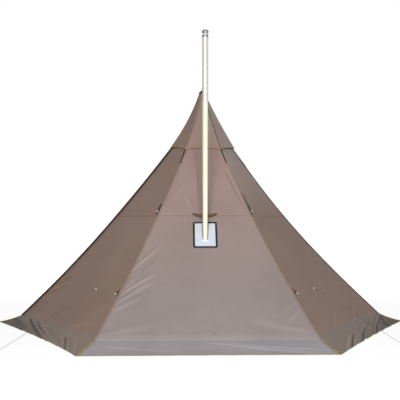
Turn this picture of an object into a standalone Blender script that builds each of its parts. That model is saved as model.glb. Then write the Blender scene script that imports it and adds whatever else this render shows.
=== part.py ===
"""Six-sided pyramid hot tent with a centre pole, a stove jack and a wood stove under its flue.

Metres, +Z up. The origin is on the ground under the centre pole. The panel with the stove jack
faces -Y, the door faces +Y, and two seams run down to the skirt's corners on the X axis.
"""
import math

import bmesh
import bpy
from mathutils import Matrix, Vector

# Driving sizes of the canopy: the radius of each ring of seam corners, and its height
hem_radius = 2.300
skirt_seam_radius = 2.040
skirt_seam_height = 0.092
belt_radius = 0.973
belt_height = 1.214
neck_radius = 0.300
neck_height = 2.050
net_top_radius = 0.060
net_top_height = 2.450
hood_hem_radius = 0.388
hood_hem_height = 1.963
hood_shoulder_radius = 0.180
hood_shoulder_height = 2.300
hood_tip_radius = 0.032
hood_tip_height = 2.620

# Cloth and the clearances between pieces
face_count = 6
cloth = 0.003
net_cloth = 0.002
hem_flat = 0.012
gap = 0.0003
overrun = 0.020

# Apex: the six-sided cone that the pole stands in, the cap over the hood and its hanging loop
cone_top_radius = 0.024
cone_below_hood_tip = 0.020
cone_wall = 0.003
cap_brim_radius = 0.040
cap_brim_thickness = 0.006
cap_top_radius = 0.012
cap_rise = 0.026
cap_boss_radius = 0.017
loop_width = 0.026
loop_height = 0.026
loop_band = 0.0025
loop_depth = 0.010
loop_steps = 10

# Centre pole: three swaged tubes, a foot and a tip
pole_radius = 0.016
pole_wall = 0.0015
pole_section_length = 0.880
pole_spigot_length = 0.060
pole_foot_radius = 0.032
pole_foot_thickness = 0.012
pole_foot_chamfer = 0.004
pole_plug_length = 0.035
pole_tip_length = 0.020
pole_sides = 20

# The hood's straps, the webbing tabs on the seams and walls, and their rings
strap_width = 0.016
strap_thickness = 0.002
strap_fall = 0.173
strap_head_rise = 0.004
tab_height = 0.110
tab_reach = 0.026
tab_thickness = 0.002
tab_nose = 0.013
tab_nose_steps = 6
tab_hole_radius = 0.0050
tab_hole_sides = 8
belt_tab_height = 1.250
brace_tab_height = 0.470
ring_radius = 0.0110
ring_wire_radius = 0.0020
ring_sides = 16
ring_wire_sides = 6

# Tie-outs on the side walls: place from the wall's middle line and up its slope
tie_out_across = 0.366
tie_out_up = 0.500

# Stove jack in the front wall, its binding and the cover rolled up above it
jack_width = 0.225
jack_height = 0.311
jack_up = 1.206
jack_border = 0.020
jack_sheet = 0.002
binding_thickness = 0.0015
cover_radius = 0.022
cover_sides = 12
cover_length = 0.255
cover_lift = 0.004
cover_tie_width = 0.012
cover_tie_thickness = 0.0015
cover_tie_inset = 0.045

# Flue: three plug-in pipe lengths, a damper and a spark arrestor
flue_behind_pole = 1.010
pipe_radius = 0.030
pipe_wall = 0.0012
pipe_plug_length = 0.035
pipe_lower_top = 1.100
pipe_middle_top = 2.060
pipe_top = 3.020
pipe_sides = 24
damper_height = 0.640
damper_clearance = 0.0025
damper_thickness = 0.0015
spindle_radius = 0.0020
spindle_clearance = 0.0004
spindle_tail = 0.010
damper_arm = 0.030
damper_knob_radius = 0.007
damper_knob_length = 0.022
arrestor_sleeve_wall = 0.0012
arrestor_sleeve_length = 0.020
arrestor_lip = 0.002
arrestor_posts = 8
arrestor_post_width = 0.006
arrestor_post_thickness = 0.0020
arrestor_post_height = 0.026
arrestor_brim_radius = 0.0335
arrestor_brim_height = 0.012
arrestor_dome_rise = 0.018
arrestor_dome_steps = 5

# Wood stove under the flue
stove_width = 0.240
stove_length = 0.420
stove_height = 0.230
stove_sheet = 0.002
stove_edge_radius = 0.012
stove_edge_steps = 4
stove_leg_height = 0.170
flue_inset = 0.070
collar_height = 0.030
collar_wall = 0.0015
fire_door_width = 0.150
fire_door_height = 0.130
fire_door_lap = 0.010
fire_door_sheet = 0.003
hinge_leaf_thickness = 0.0016
fire_opening_rise = 0.045
hinge_pin_radius = 0.0025
hinge_barrel_radius = 0.0060
hinge_barrel_height = 0.020
hinge_lug_height = 0.010
hinge_offset = 0.010
hinge_barrel_inset = 0.030
hinge_lug_half_width = 0.003
small_sides = 12
hinge_pin_head = 0.003
hinge_head_radius = 0.0045
latch_inset = 0.022
latch_shank_radius = 0.003
latch_bar_length = 0.030
latch_bar_width = 0.008
latch_bar_thickness = 0.003
latch_bar_clearance = 0.003
latch_handle_length = 0.045
latch_handle_radius = 0.005
latch_neck = 0.012
air_slot_width = 0.012
air_slot_height = 0.016
air_slot_pitch = 0.026
air_slot_count = 4
air_slot_rise = 0.021
air_slide_margin = 0.008
air_slide_height = 0.022
air_slide_thickness = 0.0015
air_rail_height = 0.004
air_rail_lip = 0.003
air_rail_sheet = 0.001
air_knob_radius = 0.004
air_knob_length = 0.012
leg_wire_radius = 0.004
leg_inset = 0.050
front_leg_spread = 0.104
rear_leg_spread = 0.088
leg_bracket_width = 0.012
leg_bracket_across = 0.060
leg_bracket_wall = 0.003
leg_bend_radius = 0.012
leg_bend_steps = 4

# Door in the rear wall: two leaves, each a little short of the wall above, and the zip between them
leaf_head_gap = 0.0025
zip_gap = 0.0006
zip_chain_width = 0.008
zip_thickness = 0.0015
zip_end_margin = 0.012
zip_rest_up = 0.045
zip_slider_length = 0.016
zip_slider_width = 0.010
zip_slider_thickness = 0.0045
zip_pull_length = 0.030
zip_pull_width = 0.006
zip_pull_thickness = 0.0015

# Guy lines: the cord, and where each ends on the ground beside the tent
guy_radius = 0.0015
guy_points = 24
guy_left_end = (-1.870, -1.880)
guy_right_end = (1.822, -1.656)
guy_past_hook = 0.009
tensioner_length = 0.024
tensioner_width = 0.012
tensioner_thickness = 0.008
tensioner_corner = 0.002
tensioner_corner_steps = 2
tensioner_clearance = 0.0006
tensioner_along_share = 0.550
peg_wire_radius = 0.0025
peg_length = 0.180
peg_hook_radius = 0.011
peg_bend_steps = 8
peg_tip_return = 0.008
cord_bevel_steps = 2
sharp_angle = math.radians(30)

# Shares that follow from the number of walls
flat_share = math.cos(math.pi / face_count)
edge_share = math.tan(math.pi / face_count)
slant_share = math.sin(math.pi / face_count)
wall_turn = 2 * math.pi / face_count
WALLS = ("front", "front_right", "rear_right", "rear", "rear_left", "front_left")
REAR = WALLS.index("rear")

HEM = (hem_radius, 0)
SKIRT_SEAM = (skirt_seam_radius, skirt_seam_height)
BELT = (belt_radius, belt_height)
NECK = (neck_radius, neck_height)
NET_TOP = (net_top_radius, net_top_height)
HOOD_HEM = (hood_hem_radius, hood_hem_height)
HOOD_SHOULDER = (hood_shoulder_radius, hood_shoulder_height)
HOOD_TIP = (hood_tip_radius, hood_tip_height)

# Heights that go with the hood's: the top of the cone inside it, and the foot of its straps
cone_top_height = hood_tip_height - cone_below_hood_tip
strap_foot_height = hood_hem_height - strap_fall


def clear_scene():
    for thing in list(bpy.data.objects):
        bpy.data.objects.remove(thing, do_unlink=True)


def finish(name, colour, roughness, metallic=0.0):
    """A Principled material, or the one that has the name already."""
    known = bpy.data.materials.get(name)
    if known:
        return known
    material = bpy.data.materials.new(name)
    material.use_nodes = True
    shader = material.node_tree.nodes["Principled BSDF"]
    shader.inputs["Base Color"].default_value = (*colour, 1.0)
    shader.inputs["Roughness"].default_value = roughness
    shader.inputs["Metallic"].default_value = metallic
    return material


FINISHES = {
    "canopy_cloth": ((0.30, 0.25, 0.22), 0.80, 0.0),
    "net": ((0.05, 0.05, 0.05), 0.80, 0.0),
    "webbing": ((0.04, 0.03, 0.03), 0.85, 0.0),
    "jack_cloth": ((0.74, 0.78, 0.82), 0.45, 0.0),
    "jack_binding": ((0.02, 0.02, 0.03), 0.70, 0.0),
    "plastic_white": ((0.80, 0.80, 0.78), 0.40, 0.0),
    "plastic_black": ((0.03, 0.03, 0.03), 0.50, 0.0),
    "alloy": ((0.70, 0.71, 0.73), 0.30, 1.0),
    "steel": ((0.78, 0.76, 0.70), 0.25, 1.0),
    "stove_steel": ((0.32, 0.32, 0.33), 0.40, 1.0),
    "zip_coil": ((0.06, 0.05, 0.05), 0.55, 0.0),
    "cord": ((0.62, 0.63, 0.64), 0.75, 0.0),
}


def add(name, build, look, matrix=None):
    """Puts the bmesh that build() returns into the scene as one named object."""
    shape = build if isinstance(build, bmesh.types.BMesh) else build()
    bmesh.ops.recalc_face_normals(shape, faces=shape.faces[:])
    mesh = bpy.data.meshes.new(name)
    shape.to_mesh(mesh)
    shape.free()
    mesh.shade_smooth()
    mesh.set_sharp_from_angle(angle=sharp_angle)
    mesh.materials.append(finish(look, *FINISHES[look]))
    thing = bpy.data.objects.new(name, mesh)
    bpy.context.scene.collection.objects.link(thing)
    if matrix is not None:
        thing.matrix_world = matrix
    return thing


def add_like(name, other, matrix):
    """Another object on the mesh of an object that is there already."""
    thing = bpy.data.objects.new(name, other.data)
    bpy.context.scene.collection.objects.link(thing)
    thing.matrix_world = matrix
    return thing


def turned(wall):
    """The turn about the pole that takes the front wall to the wall of that number."""
    return Matrix.Rotation(wall * wall_turn, 4, "Z")


def each_turn(shape, made, numbers):
    """Makes a piece at the front wall or its right-hand seam, once for each turn in numbers."""
    for number in numbers:
        before = len(shape.verts)
        made(shape)
        shape.verts.ensure_lookup_table()
        bmesh.ops.transform(shape, matrix=turned(number), verts=shape.verts[before:])


def cut(thing, shape, matrix=None, operation="DIFFERENCE"):
    """Cuts or joins a bmesh shape with an object by a Boolean modifier, and applies it."""
    bmesh.ops.recalc_face_normals(shape, faces=shape.faces[:])
    mesh = bpy.data.meshes.new("cutter")
    shape.to_mesh(mesh)
    shape.free()
    tool = bpy.data.objects.new("cutter", mesh)
    bpy.context.scene.collection.objects.link(tool)
    tool.matrix_world = matrix if matrix is not None else Matrix.Identity(4)
    tool.hide_render = True
    tool.display_type = "WIRE"
    modifier = thing.modifiers.new("cut", "BOOLEAN")
    modifier.object = tool
    modifier.operation = operation
    modifier.solver = "EXACT"
    bpy.context.view_layer.update()
    graph = bpy.context.evaluated_depsgraph_get()
    result = bpy.data.meshes.new_from_object(thing.evaluated_get(graph), depsgraph=graph)
    thing.modifiers.clear()
    old = thing.data
    result.name = old.name
    thing.data = result
    bpy.data.objects.remove(tool, do_unlink=True)
    bpy.data.meshes.remove(mesh)
    bpy.data.meshes.remove(old)


# Plain shapes, as bmesh


def loft(rings, shape=None):
    """Bridges a row of rings of equally many points, with flat caps on both ends."""
    shape = shape or bmesh.new()
    rows = [[shape.verts.new(p) for p in ring] for ring in rings]
    for low, high in zip(rows, rows[1:]):
        for i in range(len(low)):
            j = (i + 1) % len(low)
            shape.faces.new((low[i], low[j], high[j], high[i]))
    shape.faces.new(rows[0][::-1])
    shape.faces.new(rows[-1])
    return shape


def closed_band(rings, shape):
    """Bridges a row of rings and joins the last to the first, as a band with a hole through it."""
    rows = [[shape.verts.new(p) for p in ring] for ring in rings]
    for k, row in enumerate(rows):
        after = rows[(k + 1) % len(rows)]
        for i in range(len(row)):
            j = (i + 1) % len(row)
            shape.faces.new((row[i], row[j], after[j], after[i]))
    return shape


def block(low, high, shape=None):
    """A box between two corners."""
    (x0, y0, z0), (x1, y1, z1) = low, high
    ring = ((x0, y0), (x1, y0), (x1, y1), (x0, y1))
    return loft([[(x, y, z) for x, y in ring] for z in (z0, z1)], shape)


def turn(profile, sides, centre=(0, 0), shape=None):
    """A profile of (radius, height) points turned about an upright axis into a closed body.

    A point of no radius is a pole on the axis. A profile with none closes on itself as a tube.
    """
    shape = shape or bmesh.new()
    rows = []
    for radius, height in profile:
        if radius == 0:
            rows.append([shape.verts.new((*centre, height))])
            continue
        angles = [2 * math.pi * k / sides for k in range(sides)]
        rows.append([
            shape.verts.new((centre[0] + radius * math.cos(a), centre[1] + radius * math.sin(a), height))
            for a in angles
        ])
    pairs = list(zip(rows, rows[1:]))
    if len(rows[0]) > 1 or len(rows[-1]) > 1:
        pairs.append((rows[-1], rows[0]))
    for a, b in pairs:
        for i in range(sides):
            j = (i + 1) % sides
            corner = [a[i % len(a)], a[j % len(a)], b[j % len(b)], b[i % len(b)]]
            face = [v for k, v in enumerate(corner) if v not in corner[:k]]
            if len(face) > 2:
                shape.faces.new(face)
    return shape


def rod(start, end, radius, sides, shape=None):
    """A round bar from one point to another."""
    start, end = Vector(start), Vector(end)
    frame = (end - start).to_track_quat("Z", "Y").to_matrix()
    ring = [
        Vector((radius * math.cos(a), radius * math.sin(a), 0))
        for a in (2 * math.pi * k / sides for k in range(sides))
    ]
    return loft([[p + frame @ r for r in ring] for p in (start, end)], shape)


def plate(outline, thickness, shape=None, base=0):
    """An outline in X and Y raised by its thickness."""
    return loft([[(x, y, base) for x, y in outline], [(x, y, base + thickness) for x, y in outline]], shape)


def arc(centre, radius, start, end, count):
    """Points along an arc in the plane, from one angle to another, in radians."""
    return [
        (centre[0] + radius * math.cos(start + (end - start) * k / count),
         centre[1] + radius * math.sin(start + (end - start) * k / count))
        for k in range(count + 1)
    ]


def rounded_box(width, length, radius, steps):
    """The outline of a rectangle about the origin with round corners."""
    points = []
    for quarter, (sx, sy) in enumerate(((1, 1), (-1, 1), (-1, -1), (1, -1))):
        centre = (sx * (width / 2 - radius), sy * (length / 2 - radius))
        points += arc(centre, radius, quarter * math.pi / 2, (quarter + 1) * math.pi / 2, steps)
    return points


def ring_of_wire(radius, wire_radius):
    """A wire ring about Z, as a closed tube."""
    rings = []
    for a in (2 * math.pi * k / ring_sides for k in range(ring_sides)):
        out = Vector((math.cos(a), math.sin(a), 0))
        rings.append([
            out * (radius + wire_radius * math.cos(b)) + Vector((0, 0, wire_radius * math.sin(b)))
            for b in (2 * math.pi * m / ring_wire_sides for m in range(ring_wire_sides))
        ])
    return closed_band(rings, bmesh.new())


# Walls: a wall is worked out for the front, where outward is -Y, and turned to its place


class Wall:
    """The flat band of the front wall between two rings of seam corners."""

    def __init__(self, low, high):
        self.foot = Vector((low[0] * flat_share, low[1]))
        head = Vector((high[0] * flat_share, high[1]))
        self.length = (head - self.foot).length
        self.up = (head - self.foot).normalized()
        self.out = Vector((self.up.y, -self.up.x))

    def outward(self, height):
        """How far out the wall's face is at a height."""
        return self.foot.x + self.up.x * (height - self.foot.y) / self.up.y

    def half_width(self, height):
        return self.outward(height) * edge_share

    def frame(self, wall=0):
        """X runs across the wall, Y up its slope and Z out of its face, from the foot's middle."""
        axes = Matrix((
            (1, 0, 0, 0),
            (0, -self.up.x, -self.out.x, -self.foot.x),
            (0, self.up.y, self.out.y, self.foot.y),
            (0, 0, 0, 1),
        ))
        return turned(wall) @ axes

    def point(self, across, up, out, wall=0):
        return self.frame(wall) @ Vector((across, up, out))

    def seam_point(self, height, along, out, side=1):
        """A point near a seam: along the wall's face from the seam, and out from that face."""
        up = (height - self.foot.y) / self.up.y
        across = self.half_width(height) - along
        return self.frame() @ Vector((side * across, up, out))


SKIRT = Wall(HEM, SKIRT_SEAM)
LOWER = Wall(SKIRT_SEAM, BELT)
UPPER = Wall(BELT, NECK)


def wall_section(stations, thickness):
    """The closed section, in (outward, up), of cloth through rings of seam corners."""
    spans = [Wall(low, high) for low, high in zip(stations, stations[1:])]
    outer = [Vector((radius * flat_share, height)) for radius, height in stations]
    outer[0].y += gap / 2
    outer[-1].y -= gap / 2
    inner = []
    for i, point in enumerate(outer):
        meeting = spans[max(i - 1, 0):i + 1]
        inset = sum(thickness / span.out.x for span in meeting) / len(meeting)
        inner.append(Vector((point.x - inset, point.y)))
    return outer + inner[::-1]


def across_seams(section, edge=None, side=1, shape=None):
    """Carries a section across the front wall from seam to seam, or from a zip edge to one seam."""
    clear = gap / 2 / flat_share
    seam = [p.x * edge_share - clear for p in section]
    near = [-s for s in seam] if edge is None else [edge] * len(section)
    rings = [[(side * u, -p.x, p.y) for u, p in zip(row, section)] for row in (near, seam)]
    return loft(rings, shape)


# Canopy


def shell(section):
    """Carries a section round all six walls as one piece of cloth."""
    return closed_band([six_ring(p.x / flat_share, p.y) for p in section], bmesh.new())


def build_upper_walls():
    """Six upper walls on one mesh, turned to their places."""
    first = add(f"upper_{WALLS[0]}", across_seams(wall_section((BELT, NECK), cloth)), "canopy_cloth")
    for wall in range(1, face_count):
        add_like(f"upper_{WALLS[wall]}", first, turned(wall))


def build_lower_walls():
    """Five full lower walls. The front one has the hole of the stove jack."""
    section = wall_section((SKIRT_SEAM, BELT), cloth)
    front = add("lower_front", across_seams(section), "canopy_cloth")
    hole = block(
        (-jack_width / 2, jack_up - jack_height / 2, -overrun),
        (jack_width / 2, jack_up + jack_height / 2, overrun),
    )
    cut(front, hole, LOWER.frame())
    plain = None
    for wall in range(1, face_count):
        if wall == REAR:
            continue
        name = f"lower_{WALLS[wall]}"
        if plain:
            add_like(name, plain, turned(wall))
        else:
            plain = add(name, across_seams(section), "canopy_cloth", turned(wall))


def build_skirt():
    """The snow skirt, which runs out from the walls' feet down to the ground all round."""
    top = SKIRT_SEAM[0] * flat_share
    inset = cloth / SKIRT.out.x
    hem = HEM[0] * flat_share
    section = [
        Vector((hem, 0)), Vector((hem, cloth)), Vector((top, skirt_seam_height - gap / 2)),
        Vector((top - inset, skirt_seam_height - gap / 2)), Vector((hem - hem_flat, 0)),
    ]
    add("snow_skirt", shell(section), "canopy_cloth")


def build_net():
    """The insect net between the upper walls and the cone."""
    add("vent_net", shell(wall_section((NECK, NET_TOP), net_cloth)), "net")


def six_ring(radius, height):
    """Seam corners on a ring, starting at the front wall's right corner."""
    angles = [-math.pi / 2 + wall_turn / 2 + wall_turn * k for k in range(face_count)]
    return [(radius * math.cos(a), radius * math.sin(a), height) for a in angles]


def build_apex():
    """The cone that the pole's tip stands in, the cap on the hood and the hanging loop."""
    low, high = net_top_height + gap / 2, cone_top_height
    wall = cone_wall / flat_share
    rings = [
        six_ring(net_top_radius + wall, low), six_ring(cone_top_radius, high),
    ]
    inner = [
        six_ring(cone_top_radius - wall, high - cone_wall), six_ring(net_top_radius - wall / 2, low),
    ]
    shape = bmesh.new()
    rows = [[shape.verts.new(p) for p in ring] for ring in rings + inner]
    for a, b in ((0, 1), (2, 3), (3, 0)):
        for i in range(face_count):
            j = (i + 1) % face_count
            shape.faces.new((rows[a][i], rows[a][j], rows[b][j], rows[b][i]))
    shape.faces.new(rows[1])
    shape.faces.new(rows[2])
    add("apex_cone", shape, "canopy_cloth")
    brim = hood_tip_height + gap
    top = brim + cap_brim_thickness + cap_rise
    profile = (
        (0, top), (cap_top_radius, top), (cap_brim_radius, brim + cap_brim_thickness),
        (cap_brim_radius, brim), (cap_boss_radius, brim), (cap_boss_radius, cone_top_height + gap),
        (0, cone_top_height + gap),
    )
    add("hood_cap", turn(profile, pole_sides), "webbing")
    outer = arc((0, top + gap + loop_height - loop_width / 2), loop_width / 2, 0, math.pi, loop_steps)
    outline = [(loop_width / 2, top + gap)] + outer + [(-loop_width / 2, top + gap)]
    hollow = loop_width / 2 - loop_band
    inner = arc((0, top + gap + loop_height - loop_width / 2), hollow, 0, math.pi, loop_steps)
    hole = [(hollow, top + gap + loop_band)] + inner + [(-hollow, top + gap + loop_band)]
    shape = loft([
        [(x, -loop_depth / 2, z) for x, z in outline], [(x, loop_depth / 2, z) for x, z in outline]])
    loop = add("top_loop", shape, "webbing")
    cut(loop, loft([[(x, -overrun, z) for x, z in hole], [(x, overrun, z) for x, z in hole]]))


# Centre pole


def plug_in_tube(radius, wall, low, high, plug_length=0):
    """A tube whose lower end, with a plug length, narrows to a plug that fits the tube below."""
    bore = radius - wall
    if not plug_length:
        return (radius, high), (radius, low), (bore, low), (bore, high)
    plug = bore - gap
    return (
        (radius, high), (radius, low), (plug, low), (plug, low - plug_length),
        (plug - wall, low - plug_length), (plug - wall, low), (bore, low + wall), (bore, high),
    )


def build_pole():
    """Swaged tubes: each upper one ends in a plug that stands in the one below."""
    plug = pole_radius - pole_wall - gap
    base = pole_foot_thickness
    foot = (
        (0, base + pole_plug_length), (plug - pole_wall, base + pole_plug_length),
        (plug, base + pole_plug_length - pole_wall), (plug, base),
        (pole_foot_radius - pole_foot_chamfer, base), (pole_foot_radius, base - pole_foot_chamfer),
        (pole_foot_radius, 0), (0, 0),
    )
    add("pole_foot", turn(foot, pole_sides), "plastic_black")
    tip_seat = cone_top_height - cone_wall - gap
    tube_top = tip_seat - pole_tip_length
    low = base + gap
    for name in ("pole_lower", "pole_middle", "pole_upper"):
        last = name == "pole_upper"
        high = tube_top - gap if last else low + pole_section_length
        plug_length = 0 if name == "pole_lower" else pole_spigot_length
        add(name, turn(plug_in_tube(pole_radius, pole_wall, low, high, plug_length), pole_sides), "alloy")
        low = high + gap
    tip = (
        (0, tip_seat), (plug / 2, tip_seat), (pole_radius - pole_wall, tube_top + pole_wall),
        (pole_radius, tube_top), (plug, tube_top), (plug, tube_top - pole_plug_length),
        (0, tube_top - pole_plug_length),
    )
    add("pole_tip", turn(tip, pole_sides), "plastic_black")


# Hood, straps, tabs and rings


SEAM_ANGLE = -math.pi / 2 + wall_turn / 2
SEAM_OUT = Vector((math.cos(SEAM_ANGLE), math.sin(SEAM_ANGLE), 0))
SEAM_SIDE = Vector((-SEAM_OUT.y, SEAM_OUT.x, 0))


def seam_place(radius, height):
    """A point in the upright plane of the front wall's right-hand seam."""
    return SEAM_OUT * radius + Vector((0, 0, height))


# The front wall's seams by number: seam 0 is on its right
FRONT_SEAMS = {"right": 0, "left": face_count - 1}


def ridge_lift(wall):
    """How far out of a seam, along a radius, something lies that stands clear on it."""
    return gap / (flat_share * wall.out.x)


def strap(shape):
    """A strap from inside the hood's corner down to the seam of the upper walls."""
    foot_radius = UPPER.outward(strap_foot_height) / flat_share + ridge_lift(UPPER)
    hood = Wall(HOOD_HEM, HOOD_SHOULDER)
    head_height = hood_hem_height + strap_head_rise
    head_radius = (hood.outward(head_height) - strap_width / 2 * slant_share) / flat_share - strap_thickness
    half = SEAM_SIDE * strap_width / 2
    rings = []
    for radius, height in ((foot_radius, strap_foot_height), (head_radius, head_height)):
        inner, outer = seam_place(radius, height), seam_place(radius + strap_thickness, height)
        rings.append([inner - half, outer - half, outer + half, inner + half])
    return loft(rings, shape)


def build_hood():
    """The hood over the vent, with the straps that are sewn inside its corners."""
    hood = add("hood", shell(wall_section((HOOD_HEM, HOOD_SHOULDER, HOOD_TIP), cloth)), "canopy_cloth")
    straps = bmesh.new()
    each_turn(straps, strap, range(face_count))
    cut(hood, straps, None, "UNION")


def holed_plate(outline, hole, thickness, shape):
    """A plate with one hole through it, about its own middle plane."""
    half = thickness / 2
    loops = []
    for z in (-half, half):
        loops.append(([shape.verts.new((x, y, z)) for x, y in outline],
                      [shape.verts.new((x, y, z)) for x, y in hole]))
    for (outer, inner) in loops:
        edges = []
        for row in (outer, inner):
            for i, v in enumerate(row):
                edges.append(shape.edges.new((v, row[(i + 1) % len(row)])))
        bmesh.ops.triangle_fill(shape, use_beauty=True, use_dissolve=False, edges=edges)
    for low, high in zip(loops[0], loops[1]):
        for i in range(len(low)):
            j = (i + 1) % len(low)
            shape.faces.new((low[i], low[j], high[j], high[i]))
    return shape


def tab_hole_place():
    """Where the hole is in a tab's own outline."""
    return Vector((tab_reach - tab_nose / 2, tab_nose / 2, 0))


def tab_and_ring(kind, side, frame, pull):
    """A webbing tab and the ring in its hole, which lies the way it is pulled.

    The frame's X runs out from the tab's back, and its Y up along it.
    """
    centre = tab_hole_place().xy
    nose = arc(centre, tab_nose / 2, -math.pi / 2, math.pi / 2, tab_nose_steps)
    outline = [(0, 0)] + nose + [(0, tab_height)]
    hole = arc(centre, tab_hole_radius, 0, 2 * math.pi, tab_hole_sides)[:-1]
    add(f"{kind}_tab_{side}", holed_plate(outline, hole, tab_thickness, bmesh.new()), "webbing", frame)
    middle = Matrix.Translation(frame @ tab_hole_place() + pull * (ring_seat() + ring_radius))
    flat = frame.to_3x3() @ Vector((0, 0, 1))
    lie = flat.cross(pull).to_track_quat("Z", "Y").to_matrix().to_4x4()
    add(f"{kind}_ring_{side}", ring_of_wire(ring_radius, ring_wire_radius), "plastic_white", middle @ lie)


def ring_seat():
    """How far below the hole's middle the inside of the hanging ring's wire is."""
    return tab_hole_radius * math.cos(math.pi / tab_hole_sides) - ring_wire_radius - gap


def ring_drop(frame):
    """The way a ring hangs from its tab: out and down, in the tab's own plane."""
    return (frame.to_3x3() @ Vector((1, 0, 0)) + Vector((0, 0, -1))).normalized()


def tab_frame(origin, out, up):
    """X out, Y up the back, Z to the side."""
    side = out.cross(up)
    frame = Matrix((out, up, side)).transposed().to_4x4()
    frame.translation = origin
    return frame


def seam_tab_frame(wall, height, seam):
    """The frame of a tab on a numbered seam, whose foot is at that height."""
    radius = wall.outward(height) / flat_share + ridge_lift(wall)
    origin = seam_place(radius, height)
    up = (seam_place(radius + wall_run(wall), height + belt_height) - origin).normalized()
    out = (SEAM_OUT - up * SEAM_OUT.dot(up)).normalized()
    return turned(seam) @ tab_frame(origin, out, up)


def wall_run(wall):
    """How far a seam's radius changes over a rise of the belt's height."""
    return wall.up.x / wall.up.y / flat_share * belt_height


def wall_tab_frame(wall_number, side, toward):
    """The frame of a tab beside a lower wall's middle line, which leans to where it is pulled."""
    place = LOWER.frame(wall_number)
    _, up, normal = place.to_3x3().transposed()
    origin = place @ Vector((side * tie_out_across, tie_out_up, 0))
    pull = toward - origin
    out = (pull - up * pull.dot(up)).normalized()
    lean = abs(out.cross(up).dot(normal))
    return tab_frame(origin + normal * (gap + tab_thickness / 2 * lean), out, up)


# The front side walls, with the side of the middle line on which each has its tie-out
TIE_OUTS = {"left": ("front_left", 1), "right": ("front_right", -1)}


GUY_ENDS = {"left": guy_left_end, "right": guy_right_end}


def tie_out_frame(side):
    wall, across = TIE_OUTS[side]
    return wall_tab_frame(WALLS.index(wall), across, Vector((*GUY_ENDS[side], peg_wire_radius)))


def build_tabs():
    """Tabs with rings on the front seams, above the belt and low down, and on the front side walls."""
    for side, seam in FRONT_SEAMS.items():
        for kind, wall, height in (("belt", UPPER, belt_tab_height), ("brace", LOWER, brace_tab_height)):
            frame = seam_tab_frame(wall, height, seam)
            tab_and_ring(kind, side, frame, ring_drop(frame))
        tab_and_ring("tie_out", side, tie_out_frame(side), guy_way(side))


# Stove jack


def box_outline(half_width, low, high):
    return [(-half_width, low), (half_width, low), (half_width, high), (-half_width, high)]


def build_jack():
    """The heat-proof cloth in the front wall with its round hole, its binding and its rolled cover."""
    frame = LOWER.frame()
    half, low, high = jack_width / 2, jack_up - jack_height / 2, jack_up + jack_height / 2
    patch = plate(box_outline(half - gap, low + gap, high - gap), jack_sheet, base=-jack_sheet)
    jack = add("jack_patch", patch, "jack_cloth", frame)
    pipe_hole = turn(((pipe_radius + gap, pipe_top), (pipe_radius + gap, 0), (0, 0), (0, pipe_top)),
                     pipe_sides, (0, -flue_behind_pole))
    cut(jack, pipe_hole)
    edge = jack_border / 2
    outer = box_outline(half + edge, low - edge, high + edge)
    inner = box_outline(half - edge, low + edge, high - edge)
    rings = [[(x, y, z) for x, y in ring] for ring, z in (
        (outer, gap), (outer, gap + binding_thickness), (inner, gap + binding_thickness), (inner, gap))]
    add("jack_binding", closed_band(rings, bmesh.new()), "jack_binding", frame)
    build_cover()


def cover_ring(radius, across):
    """A ring round the rolled cover, in the upper front wall's frame."""
    out = gap + cover_tie_thickness + cover_radius
    return [
        (across, cover_lift + cover_radius + radius * math.cos(a), out + radius * math.sin(a))
        for a in (2 * math.pi * k / cover_sides for k in range(cover_sides))
    ]


def build_cover():
    """The cover of the jack, rolled up above it, with the two ties that are sewn to it."""
    half = cover_length / 2
    steps = [(cover_radius, -half)]
    for side in (-1, 1):
        middle = side * (half - cover_tie_inset)
        near, far = middle - cover_tie_width / 2, middle + cover_tie_width / 2
        rim = cover_radius + cover_tie_thickness
        steps += [(cover_radius, near), (rim, near), (rim, far), (cover_radius, far)]
    steps.append((cover_radius, half))
    add("jack_cover", loft([cover_ring(*step) for step in steps]), "canopy_cloth", UPPER.frame())


# Flue


def pipe_axis(height=0):
    return Vector((0, -flue_behind_pole, height))


def build_flue():
    """Three pipe lengths, the damper in the lowest one and the spark arrestor on the top one."""
    bore = pipe_radius - pipe_wall
    centre = (0, -flue_behind_pole)
    low = stove_top() + gap
    tops = {"pipe_lower": pipe_lower_top, "pipe_middle": pipe_middle_top, "pipe_upper": pipe_top}
    for name, high in tops.items():
        plug_length = 0 if name == "pipe_lower" else pipe_plug_length
        tube = plug_in_tube(pipe_radius, pipe_wall, low, high, plug_length)
        pipe = add(name, turn(tube, pipe_sides, centre), "steel")
        if name == "pipe_lower":
            reach = Vector((pipe_radius + overrun, 0, 0))
            cut(pipe, rod(-reach, reach, spindle_radius + spindle_clearance, small_sides),
                Matrix.Translation(pipe_axis(damper_height)))
        low = high + gap
    half = Vector((0, damper_thickness / 2, 0))
    damper = add("flue_damper", rod(-half, half, bore - damper_clearance, pipe_sides), "stove_steel",
                 Matrix.Translation(pipe_axis(damper_height)))
    here = damper.matrix_world.copy()
    tail = Vector((-pipe_radius - spindle_tail, 0, 0))
    knob = Vector((pipe_radius + damper_arm, 0, 0))
    spindle = rod(tail, knob + Vector((damper_thickness, 0, 0)), spindle_radius, small_sides)
    cut(damper, spindle, here, "UNION")
    grip = rod(knob, knob + Vector((damper_knob_length, 0, 0)), damper_knob_radius, small_sides)
    cut(damper, grip, here, "UNION")
    build_arrestor(bore, centre)


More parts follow.
